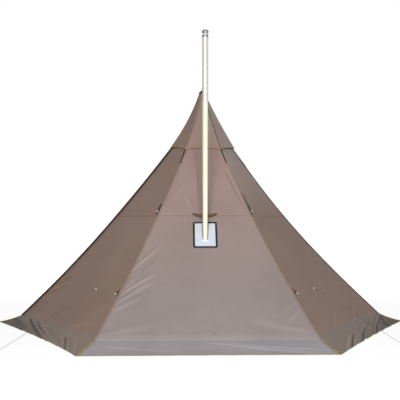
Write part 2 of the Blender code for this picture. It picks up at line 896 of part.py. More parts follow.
def build_arrestor(bore, centre):
    """A sleeve on the pipe's top edge, a ring of posts and a domed cap."""
    inner, outer = pipe_radius + gap, pipe_radius + gap + arrestor_sleeve_wall
    seat = pipe_top + gap
    foot, lip = pipe_top - arrestor_sleeve_length, seat + arrestor_lip
    sleeve = ((outer, lip), (outer, foot), (inner, foot), (inner, seat), (bore, seat), (bore, lip))
    arrestor = add("spark_arrestor", turn(sleeve, pipe_sides, centre), "steel")
    brim = seat + arrestor_lip + arrestor_post_height
    dome = [
        (arrestor_brim_radius * math.cos(a), brim + arrestor_brim_height + arrestor_dome_rise * math.sin(a))
        for a in (math.pi / 2 * k / arrestor_dome_steps for k in range(arrestor_dome_steps, -1, -1))
    ]
    dome[0] = (0, dome[0][1])
    cap = turn(dome + [(arrestor_brim_radius, brim), (0, brim)], pipe_sides, centre)
    posts = bmesh.new()
    for k in range(arrestor_posts):
        before = len(posts.verts)
        block((bore, -arrestor_post_width / 2, seat + arrestor_lip / 2),
              (bore + arrestor_post_thickness, arrestor_post_width / 2, brim + arrestor_lip / 2), posts)
        posts.verts.ensure_lookup_table()
        spin = Matrix.Translation(pipe_axis()) @ Matrix.Rotation(2 * math.pi * k / arrestor_posts, 4, "Z")
        bmesh.ops.transform(posts, matrix=spin, verts=posts.verts[before:])
    cut(arrestor, posts, None, "UNION")
    cut(arrestor, cap, None, "UNION")


# Wood stove


def stove_top():
    return stove_leg_height + stove_height


def stove_front():
    """The face with the fire door, which looks at the pole."""
    return -flue_behind_pole - flue_inset + stove_length


def stove_middle():
    return stove_front() - stove_length / 2


def fire_opening():
    """The low and high corners of the opening in the stove's front, as (x, z)."""
    low = stove_leg_height + fire_opening_rise
    return (-fire_door_width / 2, low), (fire_door_width / 2, low + fire_door_height)


def hinge_place():
    """Where the fire door's hinge pin stands."""
    return Vector((-fire_door_width / 2 - fire_door_lap - hinge_offset,
                   stove_front() + gap + hinge_barrel_radius, 0))


def hinge_barrels():
    """The low and high end of each of the door's two hinge barrels."""
    (_, low), (_, high) = fire_opening()
    return ((low + hinge_barrel_inset - hinge_barrel_height, low + hinge_barrel_inset),
            (high - hinge_barrel_inset, high - hinge_barrel_inset + hinge_barrel_height))


def build_stove_body():
    """A folded steel box on wire legs, with its flue collar, hinge lugs and leg brackets."""
    base, top, front = stove_leg_height, stove_top(), stove_front()
    place = Matrix.Translation((0, stove_middle(), 0))
    outline = rounded_box(stove_width, stove_length, stove_edge_radius, stove_edge_steps)
    body = add("stove_body", plate(outline, stove_height, base=base), "stove_steel", place)
    inside = rounded_box(stove_width - 2 * stove_sheet, stove_length - 2 * stove_sheet,
                         stove_edge_radius - stove_sheet, stove_edge_steps)
    cut(body, plate(inside, stove_height - 2 * stove_sheet, base=base + stove_sheet), place)
    (x0, z0), (x1, z1) = fire_opening()
    cut(body, block((x0, front - overrun, z0), (x1, front + overrun, z1)))
    centre = (0, -flue_behind_pole)
    rim = pipe_radius - pipe_wall - gap
    collar = plug_in_tube(rim, collar_wall, top - stove_sheet, top + collar_height)
    cut(body, turn(collar, pipe_sides, centre), None, "UNION")
    bore = rim - collar_wall
    hole = ((0, top + collar_height + overrun), (bore, top + collar_height + overrun),
            (bore, top - overrun), (0, top - overrun))
    cut(body, turn(hole, pipe_sides, centre))
    pin = hinge_place()
    low_barrel, high_barrel = hinge_barrels()
    lugs = ((low_barrel[0] - gap - hinge_lug_height, low_barrel[0] - gap),
            (high_barrel[1] + gap, high_barrel[1] + gap + hinge_lug_height))
    for low, high in lugs:
        cut(body, block((pin.x - hinge_lug_half_width, front - stove_sheet / 2, low),
                        (pin.x + hinge_lug_half_width, pin.y, high)), None, "UNION")
        cut(body, turn(((0, high), (hinge_barrel_radius, high), (hinge_barrel_radius, low), (0, low)),
                       small_sides, (pin.x, pin.y)), None, "UNION")
    drill = turn(((0, lugs[1][1] + overrun), (hinge_pin_radius + gap, lugs[1][1] + overrun),
                  (hinge_pin_radius + gap, lugs[0][0] - overrun), (0, lugs[0][0] - overrun)),
                 small_sides, (pin.x, pin.y))
    cut(body, drill)
    bottom = leg_hinge_height() - leg_wire_radius - leg_bracket_wall
    for y in leg_places():
        for side in (-1, 1):
            x = side * leg_bracket_across
            half = leg_wire_radius + leg_bracket_wall
            cut(body, block((x - leg_bracket_width / 2, y - half, bottom),
                            (x + leg_bracket_width / 2, y + half, base + stove_sheet / 2)), None, "UNION")
            reach = Vector((leg_bracket_width, 0, 0))
            cut(body, rod(-reach, reach, leg_bore_radius(), small_sides),
                Matrix.Translation((x, y, leg_hinge_height())))
    build_hinge_pin(pin, lugs)


def build_hinge_pin(pin, lugs):
    seat = lugs[1][1] + gap
    top, foot = seat + hinge_pin_head, lugs[0][0]
    profile = ((0, top), (hinge_head_radius, top), (hinge_head_radius, seat),
               (hinge_pin_radius, seat), (hinge_pin_radius, foot), (0, foot))
    add("stove_hinge_pin", turn(profile, small_sides, (pin.x, pin.y)), "steel")


def build_fire_door():
    """The fire door with its hinge barrels, its air slots and the rails of the air slide."""
    (x0, z0), (x1, z1) = fire_opening()
    back = stove_front() + gap
    face = back + fire_door_sheet
    lap = fire_door_lap
    door = add("stove_door", block((x0 - lap, back, z0 - lap), (x1 + lap, face, z1 + lap)), "stove_steel")
    pin = hinge_place()
    for low, high in hinge_barrels():
        leaf = back + (fire_door_sheet - hinge_leaf_thickness) / 2
        hinge_leaf = block((pin.x, leaf, low), (x0 - lap / 2, leaf + hinge_leaf_thickness, high))
        cut(door, hinge_leaf, None, "UNION")
        cut(door, turn(((0, high), (hinge_barrel_radius, high), (hinge_barrel_radius, low), (0, low)),
                       small_sides, (pin.x, pin.y)), None, "UNION")
    cut(door, turn(((0, z1 + lap), (hinge_pin_radius + gap, z1 + lap), (hinge_pin_radius + gap, z0 - lap),
                    (0, z0 - lap)), small_sides, (pin.x, pin.y)))
    latch = latch_place()
    reach = Vector((0, overrun, 0))
    cut(door, rod(-reach, reach, latch_shank_radius + gap, small_sides), Matrix.Translation(latch))
    middle = z0 + air_slot_rise
    cut(door, air_slots(back - overrun, face + overrun, middle))
    for side in (-1, 1):
        cut(door, air_rail(face, middle, side), None, "UNION")
    pivot(door, pin)
    build_air_slide(face, middle)
    build_latch(latch, back)


def air_rail(face, middle, side):
    """A rail with a lip that laps over the slide's edge, along the slide's top or bottom."""
    foot = face - fire_door_sheet / 2
    under = face + air_slide_thickness + 2 * gap
    top = under + air_rail_sheet
    near = air_slide_height / 2 + gap
    far, lip = near + air_rail_height, near - air_rail_lip
    outline = [(foot, near), (foot, far), (top, far), (top, lip), (under, lip), (under, near)]
    reach = air_slide_half_length() + air_slot_pitch / 2
    return loft([[(x, y, middle + side * z) for y, z in outline] for x in (-reach, reach)])


def air_slots(back, front, middle):
    """The row of air slots, as blocks."""
    shape = bmesh.new()
    for k in range(air_slot_count):
        x = (k - (air_slot_count - 1) / 2) * air_slot_pitch
        block((x - air_slot_width / 2, back, middle - air_slot_height / 2),
              (x + air_slot_width / 2, front, middle + air_slot_height / 2), shape)
    return shape


def air_slide_half_length():
    return (air_slot_count - 1) / 2 * air_slot_pitch + air_slot_width / 2 + air_slide_margin


def build_air_slide(face, middle):
    """The slide in the door's rails, with its slots over the door's and a knob between two of them."""
    back, front = face + gap, face + gap + air_slide_thickness
    half = air_slide_half_length()
    slide = add("air_slide", block((-half, back, middle - air_slide_height / 2),
                                   (half, front, middle + air_slide_height / 2)), "steel")
    cut(slide, air_slots(back - overrun, front + overrun, middle))
    foot = Vector((0, (back + front) / 2, middle))
    knob = rod(foot, foot + Vector((0, air_knob_length, 0)), air_knob_radius, small_sides)
    cut(slide, knob, None, "UNION")
    pivot(slide, Vector((0, back, middle)))


def latch_place():
    """Where the latch's shank goes through the door."""
    (_, z0), (x1, z1) = fire_opening()
    return Vector((x1 + fire_door_lap - latch_inset, stove_front() + gap, (z0 + z1) / 2))


def build_latch(place, back):
    """A turning latch: a handle outside, a shank through the door and a bar behind the stove's front."""
    bar_front = stove_front() - stove_sheet - latch_bar_clearance - place.y
    neck_end = back + fire_door_sheet + latch_neck - place.y
    latch = add("stove_latch", block(
        (-latch_bar_width / 2, bar_front - latch_bar_thickness, -latch_bar_width / 2),
        (latch_bar_width / 2, bar_front, latch_bar_length)), "steel", Matrix.Translation(place))
    here = latch.matrix_world.copy()
    shank_foot = (0, bar_front - latch_bar_thickness / 2, 0)
    shank = rod(shank_foot, (0, neck_end, 0), latch_shank_radius, small_sides)
    cut(latch, shank, here, "UNION")
    handle = rod((0, neck_end, -latch_handle_radius), (0, neck_end, latch_handle_length),
                 latch_handle_radius, small_sides)
    cut(latch, handle, here, "UNION")


def leg_hinge_height():
    """The leg frames' cross wires lie just under the stove's floor."""
    return stove_leg_height - leg_wire_radius - 2 * gap


def leg_bore_radius():
    """Wide enough that the bore's flat sides clear the wire."""
    return (leg_wire_radius + gap) / math.cos(math.pi / small_sides)


def leg_places():
    front, middle = stove_front(), stove_middle()
    return front - leg_inset, 2 * middle - front + leg_inset


def wire(name, points, radius, look, place=None):
    """A bent wire or cord through points, as a curve with a round bevel and flat ends."""
    curve = bpy.data.curves.new(name, "CURVE")
    curve.dimensions = "3D"
    spline = curve.splines.new("POLY")
    spline.points.add(len(points) - 1)
    for at, point in zip(spline.points, points):
        at.co = (*point, 1)
    curve.bevel_depth = radius
    curve.bevel_resolution = cord_bevel_steps
    curve.use_fill_caps = True
    curve.materials.append(finish(look, *FINISHES[look]))
    thing = bpy.data.objects.new(name, curve)
    bpy.context.scene.collection.objects.link(thing)
    thing.matrix_world = place or Matrix.Identity(4)
    return thing


def build_legs():
    """Two folding leg frames, each one wire bent into a U that hangs from its cross wire."""
    drop = leg_hinge_height()
    for name, y, spread in zip(("stove_leg_front", "stove_leg_rear"), leg_places(),
                               (front_leg_spread, rear_leg_spread)):
        bend = (spread - leg_bend_radius, -leg_bend_radius)
        right = arc(bend, leg_bend_radius, 0, math.pi / 2, leg_bend_steps)
        half = [(spread, -drop)] + right
        points = [(x, 0, z) for x, z in half] + [(-x, 0, z) for x, z in reversed(half)]
        wire(name, points, leg_wire_radius, "steel", Matrix.Translation((0, y, drop)))


# Door


def pivot(thing, place):
    """Moves an object's origin to a place in the world, and leaves its shape where it is."""
    bpy.context.view_layer.update()
    local = thing.matrix_world.inverted() @ Vector(place)
    thing.data.transform(Matrix.Translation(-local))
    thing.matrix_world = thing.matrix_world @ Matrix.Translation(local)


def build_door():
    """Two leaves in the rear wall, each hung on its seam, with half of the zip on each."""
    head = belt_height - leaf_head_gap
    section = wall_section((SKIRT_SEAM, (LOWER.outward(head) / flat_share, head)), cloth)
    rear = turned(REAR)
    for name, side in (("left", 1), ("right", -1)):
        leaf = add(f"door_leaf_{name}", across_seams(section, zip_gap / 2, side), "canopy_cloth", rear)
        foot = seam_place(*SKIRT_SEAM) if side > 0 else turned(-1) @ seam_place(*SKIRT_SEAM)
        pivot(leaf, rear @ foot)
        near, far = sorted((side * zip_gap / 2, side * (zip_gap / 2 + zip_chain_width)))
        low, high = zip_end_margin, LOWER.length - leaf_head_gap - zip_end_margin
        chain = plate([(near, low), (far, low), (far, high), (near, high)], zip_thickness, base=gap)
        add(f"zip_chain_{name}", chain, "zip_coil", LOWER.frame(REAR))
    build_slider()


def build_slider():
    """The zip's slider at the foot of the door, with its pull hanging down."""
    base = 2 * gap + zip_thickness
    left, right = zip_gap / 2, zip_gap / 2 + zip_slider_width
    middle = (left + right) / 2
    low, high = zip_rest_up, zip_rest_up + zip_slider_length
    neck = zip_pull_width / 2
    outline = [(middle - neck, low), (middle + neck, low), (right, high - neck), (right - neck, high),
               (left + neck, high), (left, high - neck)]
    place = LOWER.frame(REAR)
    slider = add("zip_slider", plate(outline, zip_slider_thickness, base=base), "alloy", place)
    half = zip_pull_width / 2
    pull = plate([(middle - half, low - zip_pull_length), (middle + half, low - zip_pull_length),
                  (middle + half, low + neck), (middle - half, low + neck)],
                 zip_pull_thickness, base=base + zip_slider_thickness / 2)
    cut(slider, pull, place, "UNION")
    pivot(slider, place @ Vector((middle, low, base)))


# Guy lines


def guy_way(side):
    """The way a guy line runs: from its tab's hole over the bend of its peg's hook."""
    start = tie_out_frame(side) @ tab_hole_place()
    clear = peg_wire_radius + guy_radius + gap
    way = Vector((*GUY_ENDS[side], peg_wire_radius + clear)) - start
    level = way.xy.length / way.length
    return (way + Vector((0, 0, clear / level - clear))).normalized()


def build_guys():
    """Taut guy lines from the front side walls to wire pegs on the ground, each with a tensioner."""
    for side, end in GUY_ENDS.items():
        way = guy_way(side)
        hole = tie_out_frame(side) @ tab_hole_place()
        start = hole + way * (ring_seat() + 2 * ring_radius + ring_wire_radius + gap)
        to_peg = (Vector(end) - hole.xy).length + guy_past_hook
        line = hole + way * (to_peg / way.xy.length) - start
        points = [start + line * k / (guy_points - 1) for k in range(guy_points)]
        wire(f"guy_line_{side}", points, guy_radius, "cord")
        frame = way.to_track_quat("Z", "Y").to_matrix().to_4x4()
        frame.translation = start + line * tensioner_along_share
        outline = rounded_box(
            tensioner_width, tensioner_thickness, tensioner_corner, tensioner_corner_steps)
        bore = arc((0, 0), guy_radius + tensioner_clearance, 0, 2 * math.pi, small_sides)[:-1]
        add(f"guy_tensioner_{side}", holed_plate(outline, bore, tensioner_length, bmesh.new()),
            "plastic_black", frame)
        build_peg(f"guy_peg_{side}", Vector((*end, peg_wire_radius)), way)


def build_peg(name, origin, way):
    """A bent wire peg that lies on the ground, with the bend of its hook under the line's end."""
    away = Vector((way.x, way.y, 0)).normalized()
    side = Vector((-away.y, away.x, 0))
    bend = arc((peg_hook_radius, 0), peg_hook_radius, 3 * math.pi / 2, math.pi / 2, peg_bend_steps)
    flat = [(peg_hook_radius + peg_tip_return, -peg_hook_radius)] + bend + [(peg_length, peg_hook_radius)]
    wire(name, [origin + away * a + side * b for a, b in flat], peg_wire_radius, "steel")


def main():
    clear_scene()
    build_hood()
    build_upper_walls()
    build_lower_walls()
    build_skirt()
    build_net()
    build_apex()
    build_pole()
    build_tabs()
    build_jack()
    build_flue()
    build_stove_body()
    build_fire_door()
    build_legs()
    build_door()
    build_guys()


main()
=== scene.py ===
"""Looks of a six-sided hot tent: cotton-blend walls, a vent hood, a stove jack and a steel flue."""
import math

import bmesh
import bpy
import numpy as np
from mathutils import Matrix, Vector


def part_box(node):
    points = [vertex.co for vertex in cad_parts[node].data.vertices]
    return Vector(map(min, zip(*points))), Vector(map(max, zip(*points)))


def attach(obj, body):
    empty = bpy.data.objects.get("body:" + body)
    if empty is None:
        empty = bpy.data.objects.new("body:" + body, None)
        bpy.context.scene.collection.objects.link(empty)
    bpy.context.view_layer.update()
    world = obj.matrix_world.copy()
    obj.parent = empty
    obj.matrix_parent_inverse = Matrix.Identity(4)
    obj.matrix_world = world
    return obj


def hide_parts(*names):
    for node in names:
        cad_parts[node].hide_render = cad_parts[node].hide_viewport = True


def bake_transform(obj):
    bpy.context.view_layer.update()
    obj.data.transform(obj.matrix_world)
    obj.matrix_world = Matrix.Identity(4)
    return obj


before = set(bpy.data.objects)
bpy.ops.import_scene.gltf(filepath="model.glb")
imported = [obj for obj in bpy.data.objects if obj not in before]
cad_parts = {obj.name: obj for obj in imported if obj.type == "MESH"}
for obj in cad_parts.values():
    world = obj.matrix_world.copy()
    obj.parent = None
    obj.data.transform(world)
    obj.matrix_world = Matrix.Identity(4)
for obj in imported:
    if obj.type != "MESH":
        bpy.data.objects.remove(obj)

bl_info = {
    "name": "Hot tent",
    "version": (1, 0, 0),
    "blender": (4, 5, 0),
    "location": "3D view > Sidebar > Hot tent",
    "description": "Dresses the packed hot tent: cloth walls, trim, jack, flue and studio",
    "category": "Object",
}

# The tent's rings of seam corners as (radius, height), in metres
HEM = (2.300, 0.0)
FOOT = (2.040, 0.092)
BELT = (0.973, 1.214)
NECK = (0.300, 2.050)
NET_TOP = (0.060, 2.450)
CONE_TOP = (0.024, 2.5995)
HOOD_HEM = (0.388, 1.963)
HOOD_TIP = (0.032, 2.620)
LOWER = (FOOT, BELT)
UPPER = (BELT, NECK)

# Walls are numbered from the front one round by the right, and each seam has the number of the wall before it
WALL_COUNT = 6
WALL_TURN = 2 * math.pi / WALL_COUNT
OUT_SHARE = math.cos(math.pi / WALL_COUNT)
SIDE_SHARE = math.sin(math.pi / WALL_COUNT)
WALLS = ("front", "front_right", "rear_right", "rear", "rear_left", "front_left")
FRONT, REAR = 0, 3
NEAR_WALLS = (0, 1, 5)
FRONT_SEAMS = (0, 5)
DOOR_SEAMS = {2: "right", 3: "left"}
RIGHT_SEAM = 1.0 - 1e-7
SIDES = ("left", "right")
TAB_KINDS = ("belt", "brace", "tie_out")

# Stove jack: its opening, its place up the front wall, its hole and the flue's axis
JACK_HALF_WIDTH = 0.1125
JACK_HALF_HEIGHT = 0.1555
JACK_MIDDLE = 1.206
JACK_LOW, JACK_HIGH = JACK_MIDDLE - JACK_HALF_HEIGHT, JACK_MIDDLE + JACK_HALF_HEIGHT
JACK_EDGE = 0.010
JACK_HOLE = 0.0318
FLUE_Y = -1.010

# Guy lines: where each leaves its ring, and where it ends past its peg's hook
GUY_RUNS = {
    "left": ((-1.0919601, -1.0723273, 0.4837565), (-1.8762439, -1.8864818, 0.0033480)),
    "right": ((1.0959611, -1.0673028, 0.4829717), (1.8289907, -1.6616683, 0.0027460)),
}
GUY_POINTS = 24
GUY_DIAMETER = 0.003


def length_property(title, about, default, low, high):
    """A property that holds a length in metres."""
    return bpy.props.FloatProperty(name=title, description=about, default=default, min=low, max=high,
                                   subtype="DISTANCE", unit="LENGTH")


def colour_property(title, about, default):
    """A property that holds a colour."""
    return bpy.props.StringProperty(name=title, description=f"{about}, sRGB hex", default=default)


class HotTentSizes(bpy.types.PropertyGroup):
    """Sizes of the cloth, its trim and its folds."""
    cloth_thickness: length_property(
        "Cloth thickness", "Thickness of the canopy cloth as drawn", 0.0010, 0.0003, 0.003)
    seam_sag: length_property(
        "Seam sag", "How far the lower seams hang inside a straight line", 0.030, 0.0, 0.06)
    upper_sag: length_property(
        "Upper seam sag", "How far the upper seams hang inside a straight line", 0.010, 0.0, 0.03)
    fold_depth: bpy.props.FloatProperty(
        name="Fold depth", description="Multiplies the height of every tension fold",
        default=1.9, min=0.0, max=4.0, subtype="FACTOR")
    seam_width: length_property("Seam width", "Width of a flat-felled seam", 0.014, 0.004, 0.04)
    ridge_width: length_property(
        "Ridge tape width", "Width of the dark tape on the side and rear seams", 0.034, 0.01, 0.06)
    piping_width: length_property(
        "Piping width", "Width of the bound edges of skirt and hood", 0.009, 0.002, 0.02)
    zip_pitch: length_property(
        "Zip pitch", "Distance from tooth to tooth, coarser than the real coil", 0.006, 0.002, 0.02)


class HotTentColours(bpy.types.PropertyGroup):
    """Colours of the tent's finishes."""
    cloth: colour_property("Cloth", "Canopy cloth", "#927969")
    # Painted light and sheen on the front wall: paler than the other walls, warmer at its top and cooler at
    # its foot
    cloth_low: colour_property("Sheened cloth", "Foot of the front wall", "#988D89")
    cloth_high: colour_property("Upper front cloth", "Top of the front wall", "#A68F86")
    # Painted highlight high on the right front wall and the hood face above it
    cloth_highlight: colour_property("Highlighted cloth", "Upper right front wall and hood face", "#AF9C92")
    # Painted light: the skirt greyer than the walls
    cloth_skirt: colour_property("Skirt cloth", "Skirt before the side and rear walls", "#928177")
    # Painted sheen: the skirt before the front wall paler and cooler
    cloth_foot: colour_property("Front skirt cloth", "Skirt before the front wall", "#ABA5A8")
    # Painted shade: the skirt darkened near the ground, most at its side corners
    cloth_shade: colour_property("Shaded cloth", "Skirt where it lies on the ground", "#4C3F34")
    piping: colour_property("Piping", "Bound edge of the hood", "#B0975A")
    hem_piping: colour_property("Hem piping", "Bound edge of the skirt", "#A89C50")
    tape: colour_property("Ridge tape", "Tape on the seams", "#3A2E29")
    jack: colour_property("Jack cloth", "Heat-proof cloth of the stove jack", "#DAE2EA")
    jack_binding: colour_property("Jack binding", "Tape round the jack", "#1C2029")
    pipe: colour_property("Flue", "Polished steel of the flue where it ran hot", "#EDE4BE")
    stove: colour_property("Stove", "Heat-darkened steel of the stove", "#5F5F62")
    cord: colour_property("Cord", "Guy lines", "#5A544E")


def sizes():
    return bpy.context.scene.hot_tent_sizes


def colours():
    return bpy.context.scene.hot_tent_colours


# Numbers and arrays


def linear(code, alpha=1.0):
    """An sRGB hex colour as linear RGBA."""
    parts = [int(code[i:i + 2], 16) / 255 for i in (1, 3, 5)]
    return tuple(p / 12.92 if p <= 0.04045 else ((p + 0.055) / 1.055) ** 2.4 for p in parts) + (alpha,)


def smooth(low, high, value):
    """0 below low, 1 above high, and 3t² - 2t³ between them."""
    t = np.clip((value - low) / (high - low), 0, 1)
    return t * t * (3 - 2 * t)


def unit(vectors):
    return vectors / np.linalg.norm(vectors, axis=-1, keepdims=True)


def wall_axes(wall):
    """The level unit vectors out of a wall and across it, from its left to its right seam as seen from
    outside. wall may be an array, and half a wall on from a number is the seam of that number."""
    angle = np.asarray(wall * WALL_TURN - math.pi / 2)
    level = np.zeros_like(angle)
    return (np.stack([np.cos(angle), np.sin(angle), level], axis=-1),
            np.stack([-np.sin(angle), np.cos(angle), level], axis=-1))


def face_axes(band, wall):
    """A flat band's length up its slope, and the unit vectors up that slope and out of its face."""
    (r0, z0), (r1, z1) = band
    run = np.array(((r1 - r0) * OUT_SHARE, z1 - z0))
    length = np.linalg.norm(run)
    up = run / length
    out, _ = wall_axes(wall)
    rise = np.array((0, 0, 1.0))
    return length, out * up[0] + rise * up[1], out * up[1] - rise * up[0]


def placed(wall, outward, side, height):
    """Points that far out from the middle and across, along each one's wall's axes, at that height."""
    out, across = wall_axes(wall)
    points = outward[..., None] * out + side[..., None] * across
    points[..., 2] = height
    return points


def turn_walls(turn):
    """The wall that a turn falls in, and the share across it from -1 to 1. One turn is one wall's width."""
    whole = np.floor(turn + 1e-9)
    return whole.astype(int) % WALL_COUNT, 2 * (turn - whole) - 1


def at_seams(values, wall):
    """What a row of values, one for each seam, gives at a wall's left and right seam."""
    values = np.array(values)
    return values[(wall - 1) % WALL_COUNT], values[wall]


def between_seams(values, wall, across_share):
    """A row of values, one for each seam, passed evenly from a wall's left seam to its right."""
    left, right = at_seams(values, wall)
    return (left + right) / 2 + (right - left) / 2 * across_share


def lengths_along(points, closed=False):
    """Distance travelled along a row of points, and on to its start where it is closed."""
    points = np.vstack([points, points[:1]]) if closed else points
    return np.concatenate([(0,), np.cumsum(np.linalg.norm(np.diff(points, axis=0), axis=1))])


def heading(path, closed=False):
    """The unit direction of travel at each point of a path."""
    return unit(np.roll(path, -1, 0) - np.roll(path, 1, 0) if closed else np.gradient(path, axis=0))


def ring(points):
    """A grid closed round the tent, with its first column again at its end."""
    return np.concatenate([points, points[:, :1]], axis=1)


# Maps in metres


def grid_map(around, along):
    """A UV map for a grid from one row of distances and one column of distances."""
    return np.stack(np.broadcast_arrays(around[None, :], along[:, None]), axis=-1)


def metres(points):
    """A UV map for a grid: across each row from its middle, and up the middle column."""
    step = np.linalg.norm(np.diff(points, axis=1), axis=2)
    across = np.concatenate([np.zeros((len(points), 1)), np.cumsum(step, axis=1)], axis=1)
    across -= across[:, -1:] / 2
    up = lengths_along(points[:, points.shape[1] // 2])
    return np.stack([across, np.broadcast_to(up[:, None], across.shape)], axis=-1)


# Pieces


def linked(name, mesh, material):
    """An object for a mesh, at the origin, in that material."""
    mesh.materials.append(material)
    thing = bpy.data.objects.new(name, mesh)
    bpy.context.scene.collection.objects.link(thing)
    return thing


def surface(name, points, material, uv=None, closed=(False, False), keep=None, caps=False, fold_shading=None):
    """A mesh on a grid of points (rows, columns, 3), its faces wound from the first column to the next
    and then to the next row. keep is a mask of the quads that stay; caps closes the first and last row;
    fold_shading is painted light on a fold: 1 for a painted highlight on its crest, -1 for painted shade in
    its trough."""
    rows, columns = points.shape[:2]
    index = np.arange(rows * columns).reshape(rows, columns)
    if closed[0]:
        index = np.vstack([index, index[:1]])
    if closed[1]:
        index = np.hstack([index, index[:, :1]])
    place = np.arange(index.size).reshape(index.shape)
    corners, places = (np.stack([part[:-1, :-1], part[:-1, 1:], part[1:, 1:], part[1:, :-1]], axis=-1)
                       for part in (index, place))
    keep = np.ones(corners.shape[:2], bool) if keep is None else keep
    loops, spots = corners[keep].ravel(), places[keep].ravel()
    totals = np.full(loops.size // 4, 4)
    if caps:
        loops = np.concatenate([loops, index[0, :columns][::-1], index[-1, :columns]])
        spots = np.concatenate([spots, place[0, :columns][::-1], place[-1, :columns]])
        totals = np.concatenate([totals, (columns, columns)])
    mesh = bpy.data.meshes.new(name)
    mesh.vertices.add(rows * columns)
    mesh.vertices.foreach_set("co", points.reshape(-1).astype(np.float32))
    mesh.loops.add(loops.size)
    mesh.loops.foreach_set("vertex_index", loops.astype(np.int32))
    mesh.polygons.add(totals.size)
    mesh.polygons.foreach_set("loop_start", np.concatenate([(0,), np.cumsum(totals)[:-1]]).astype(np.int32))
    mesh.polygons.foreach_set("use_smooth", np.ones(totals.size, bool))
    if uv is not None:
        layer = mesh.uv_layers.new(name="metres")
        layer.data.foreach_set("uv", uv.reshape(-1, 2)[spots].reshape(-1).astype(np.float32))
    if fold_shading is not None:
        layer = mesh.attributes.new("fold_shading", "FLOAT", "POINT")
        layer.data.foreach_set("value", fold_shading.reshape(-1).astype(np.float32))
    mesh.update(calc_edges=True)
    mesh.validate()
    return linked(name, mesh, material)


def give_wall(thing, thickness, offset=-1):
    """Gives a sheet its thickness, inwards from the face that was made."""
    wall = thing.modifiers.new("cloth thickness", "SOLIDIFY")
    wall.thickness = thickness
    wall.offset = offset
    return thing


def face_out(thing):
    """Turns every face of a closed mesh over if its signed volume is negative."""
    mesh = thing.data
    co = np.zeros(len(mesh.vertices) * 3)
    mesh.vertices.foreach_get("co", co)
    co = co.reshape(-1, 3)
    co = co - co.mean(0)
    mesh.calc_loop_triangles()
    index = np.zeros(len(mesh.loop_triangles) * 3, int)
    mesh.loop_triangles.foreach_get("vertices", index)
    a, b, c = (co[index.reshape(-1, 3)[:, k]] for k in range(3))
    if np.einsum("ij,ij->i", a, np.cross(b, c)).sum() < 0:
        mesh.flip_normals()
    return thing


def dressed(thing, slot, *nodes, body="tent"):
    """Attaches a piece to the body that carries it and hides the CAD nodes that it stands for; slot is not
    used.
    """
    if body:
        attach(thing, body)
    if nodes:
        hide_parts(*nodes)
    return thing


def strip(name, path, section, right, normal, material, *nodes, left=None, closed=False, body="tent",
          slot="webbing"):
    """A section carried along a path. A point of the section lies its first number to the right of the path,
    or to the left where that is negative, and its second number out along the normal. Its UV is the
    distance across the section and along the path."""
    left = -right if left is None else left
    right, left, normal = (np.broadcast_to(way, path.shape)[:, None] for way in (right, left, normal))
    x, y = section[None, :, :1], section[None, :, 1:]
    points = path[:, None] + np.maximum(x, 0) * right + np.maximum(-x, 0) * left + y * normal
    uv = grid_map(np.append(section[:, 0], section[0, 0]), lengths_along(path, closed))
    made = surface(name, points, material, uv, (closed, True), caps=not closed)
    return dressed(face_out(made), slot, *nodes, body=body)


def tube(name, path, radius, material, sides, closed=False, turn_from=(0, 0, 1)):
    """A round section carried along a path: each ring lies square to the path, and is turned so that its
    first spoke stays as near as it can to one fixed direction."""
    along = heading(path, closed)
    side = unit(np.cross(along, np.array(turn_from, float)))
    lift = np.cross(side, along)
    angle = (2 * np.pi * np.arange(sides) / sides)[None, :, None]
    points = path[:, None] + radius * (np.cos(angle) * side[:, None] - np.sin(angle) * lift[:, None])
    uv = grid_map(radius * 2 * np.pi * np.arange(sides + 1) / sides, lengths_along(path, closed))
    return face_out(surface(name, points, material, uv, (closed, True), caps=not closed))


def oval(half_width, half_height, count=12):
    """An oval section."""
    angle = -2 * np.pi * np.arange(count) / count
    return np.stack([half_width * np.cos(angle), half_height * np.sin(angle)], axis=1)


def flat_section(half_width, half_height, rounding=0.35):
    """A flat section with rounded edges."""
    r = half_height * rounding
    x, y = half_width, half_height
    return np.array([(-x, -y + r), (-x, y - r), (-x + r, y), (0, y), (x - r, y), (x, y - r), (x, -y + r),
                     (x - r, -y), (0, -y), (-x + r, -y)])


# The canopy's shape


# The height of the cloth's slow waves, and how far from a wall's seams, its foot and head, and the door's
# zip its folds and waves reach their full height, in metres
LONG_WAVE, SHORT_WAVE = 0.0016, 0.0007
SEAM_EASE, END_EASE = 0.035, 0.03
ZIP_EASE = (0.015, 0.12)

# How nearly each wall's middle line keeps to the straight slope: 1 is straight, 0 hangs as the seams do
BELLY = (0.62, 0.45, 0.45, 1.0, 0.45, 0.45)

# How far the belt and the foot are drawn in at each wall's middle, in metres
BELT_DIP = (0.004, 0.006, 0.006, 0.0, 0.006, 0.006)
FOOT_DIP = (0.004, 0.022, 0.018, 0.0, 0.018, 0.026)

# How far each seam is drawn in at the belt, in metres: the right one, number 1, is the tightest
BELT_INSET = (0.0, 0.034, 0.010, 0.0, 0.0, 0.0)

# How far a metre of a fold's height paints its crest pale as a painted highlight, and what multiplies that
# for the painted shade in its trough
WALL_FOLD_SHADING, WALL_TROUGH_SHADE = 36.0, 0.9
SKIRT_FOLD_SHADING, SKIRT_TROUGH_SHADE = 80.0, 5.0

# The painted shade of the darkest trough and the painted highlight of the palest crest, as shares of the
# cloth's own
FOLD_SHADE_DARKEST = 0.45
FOLD_HIGHLIGHT_PALEST = 1.45

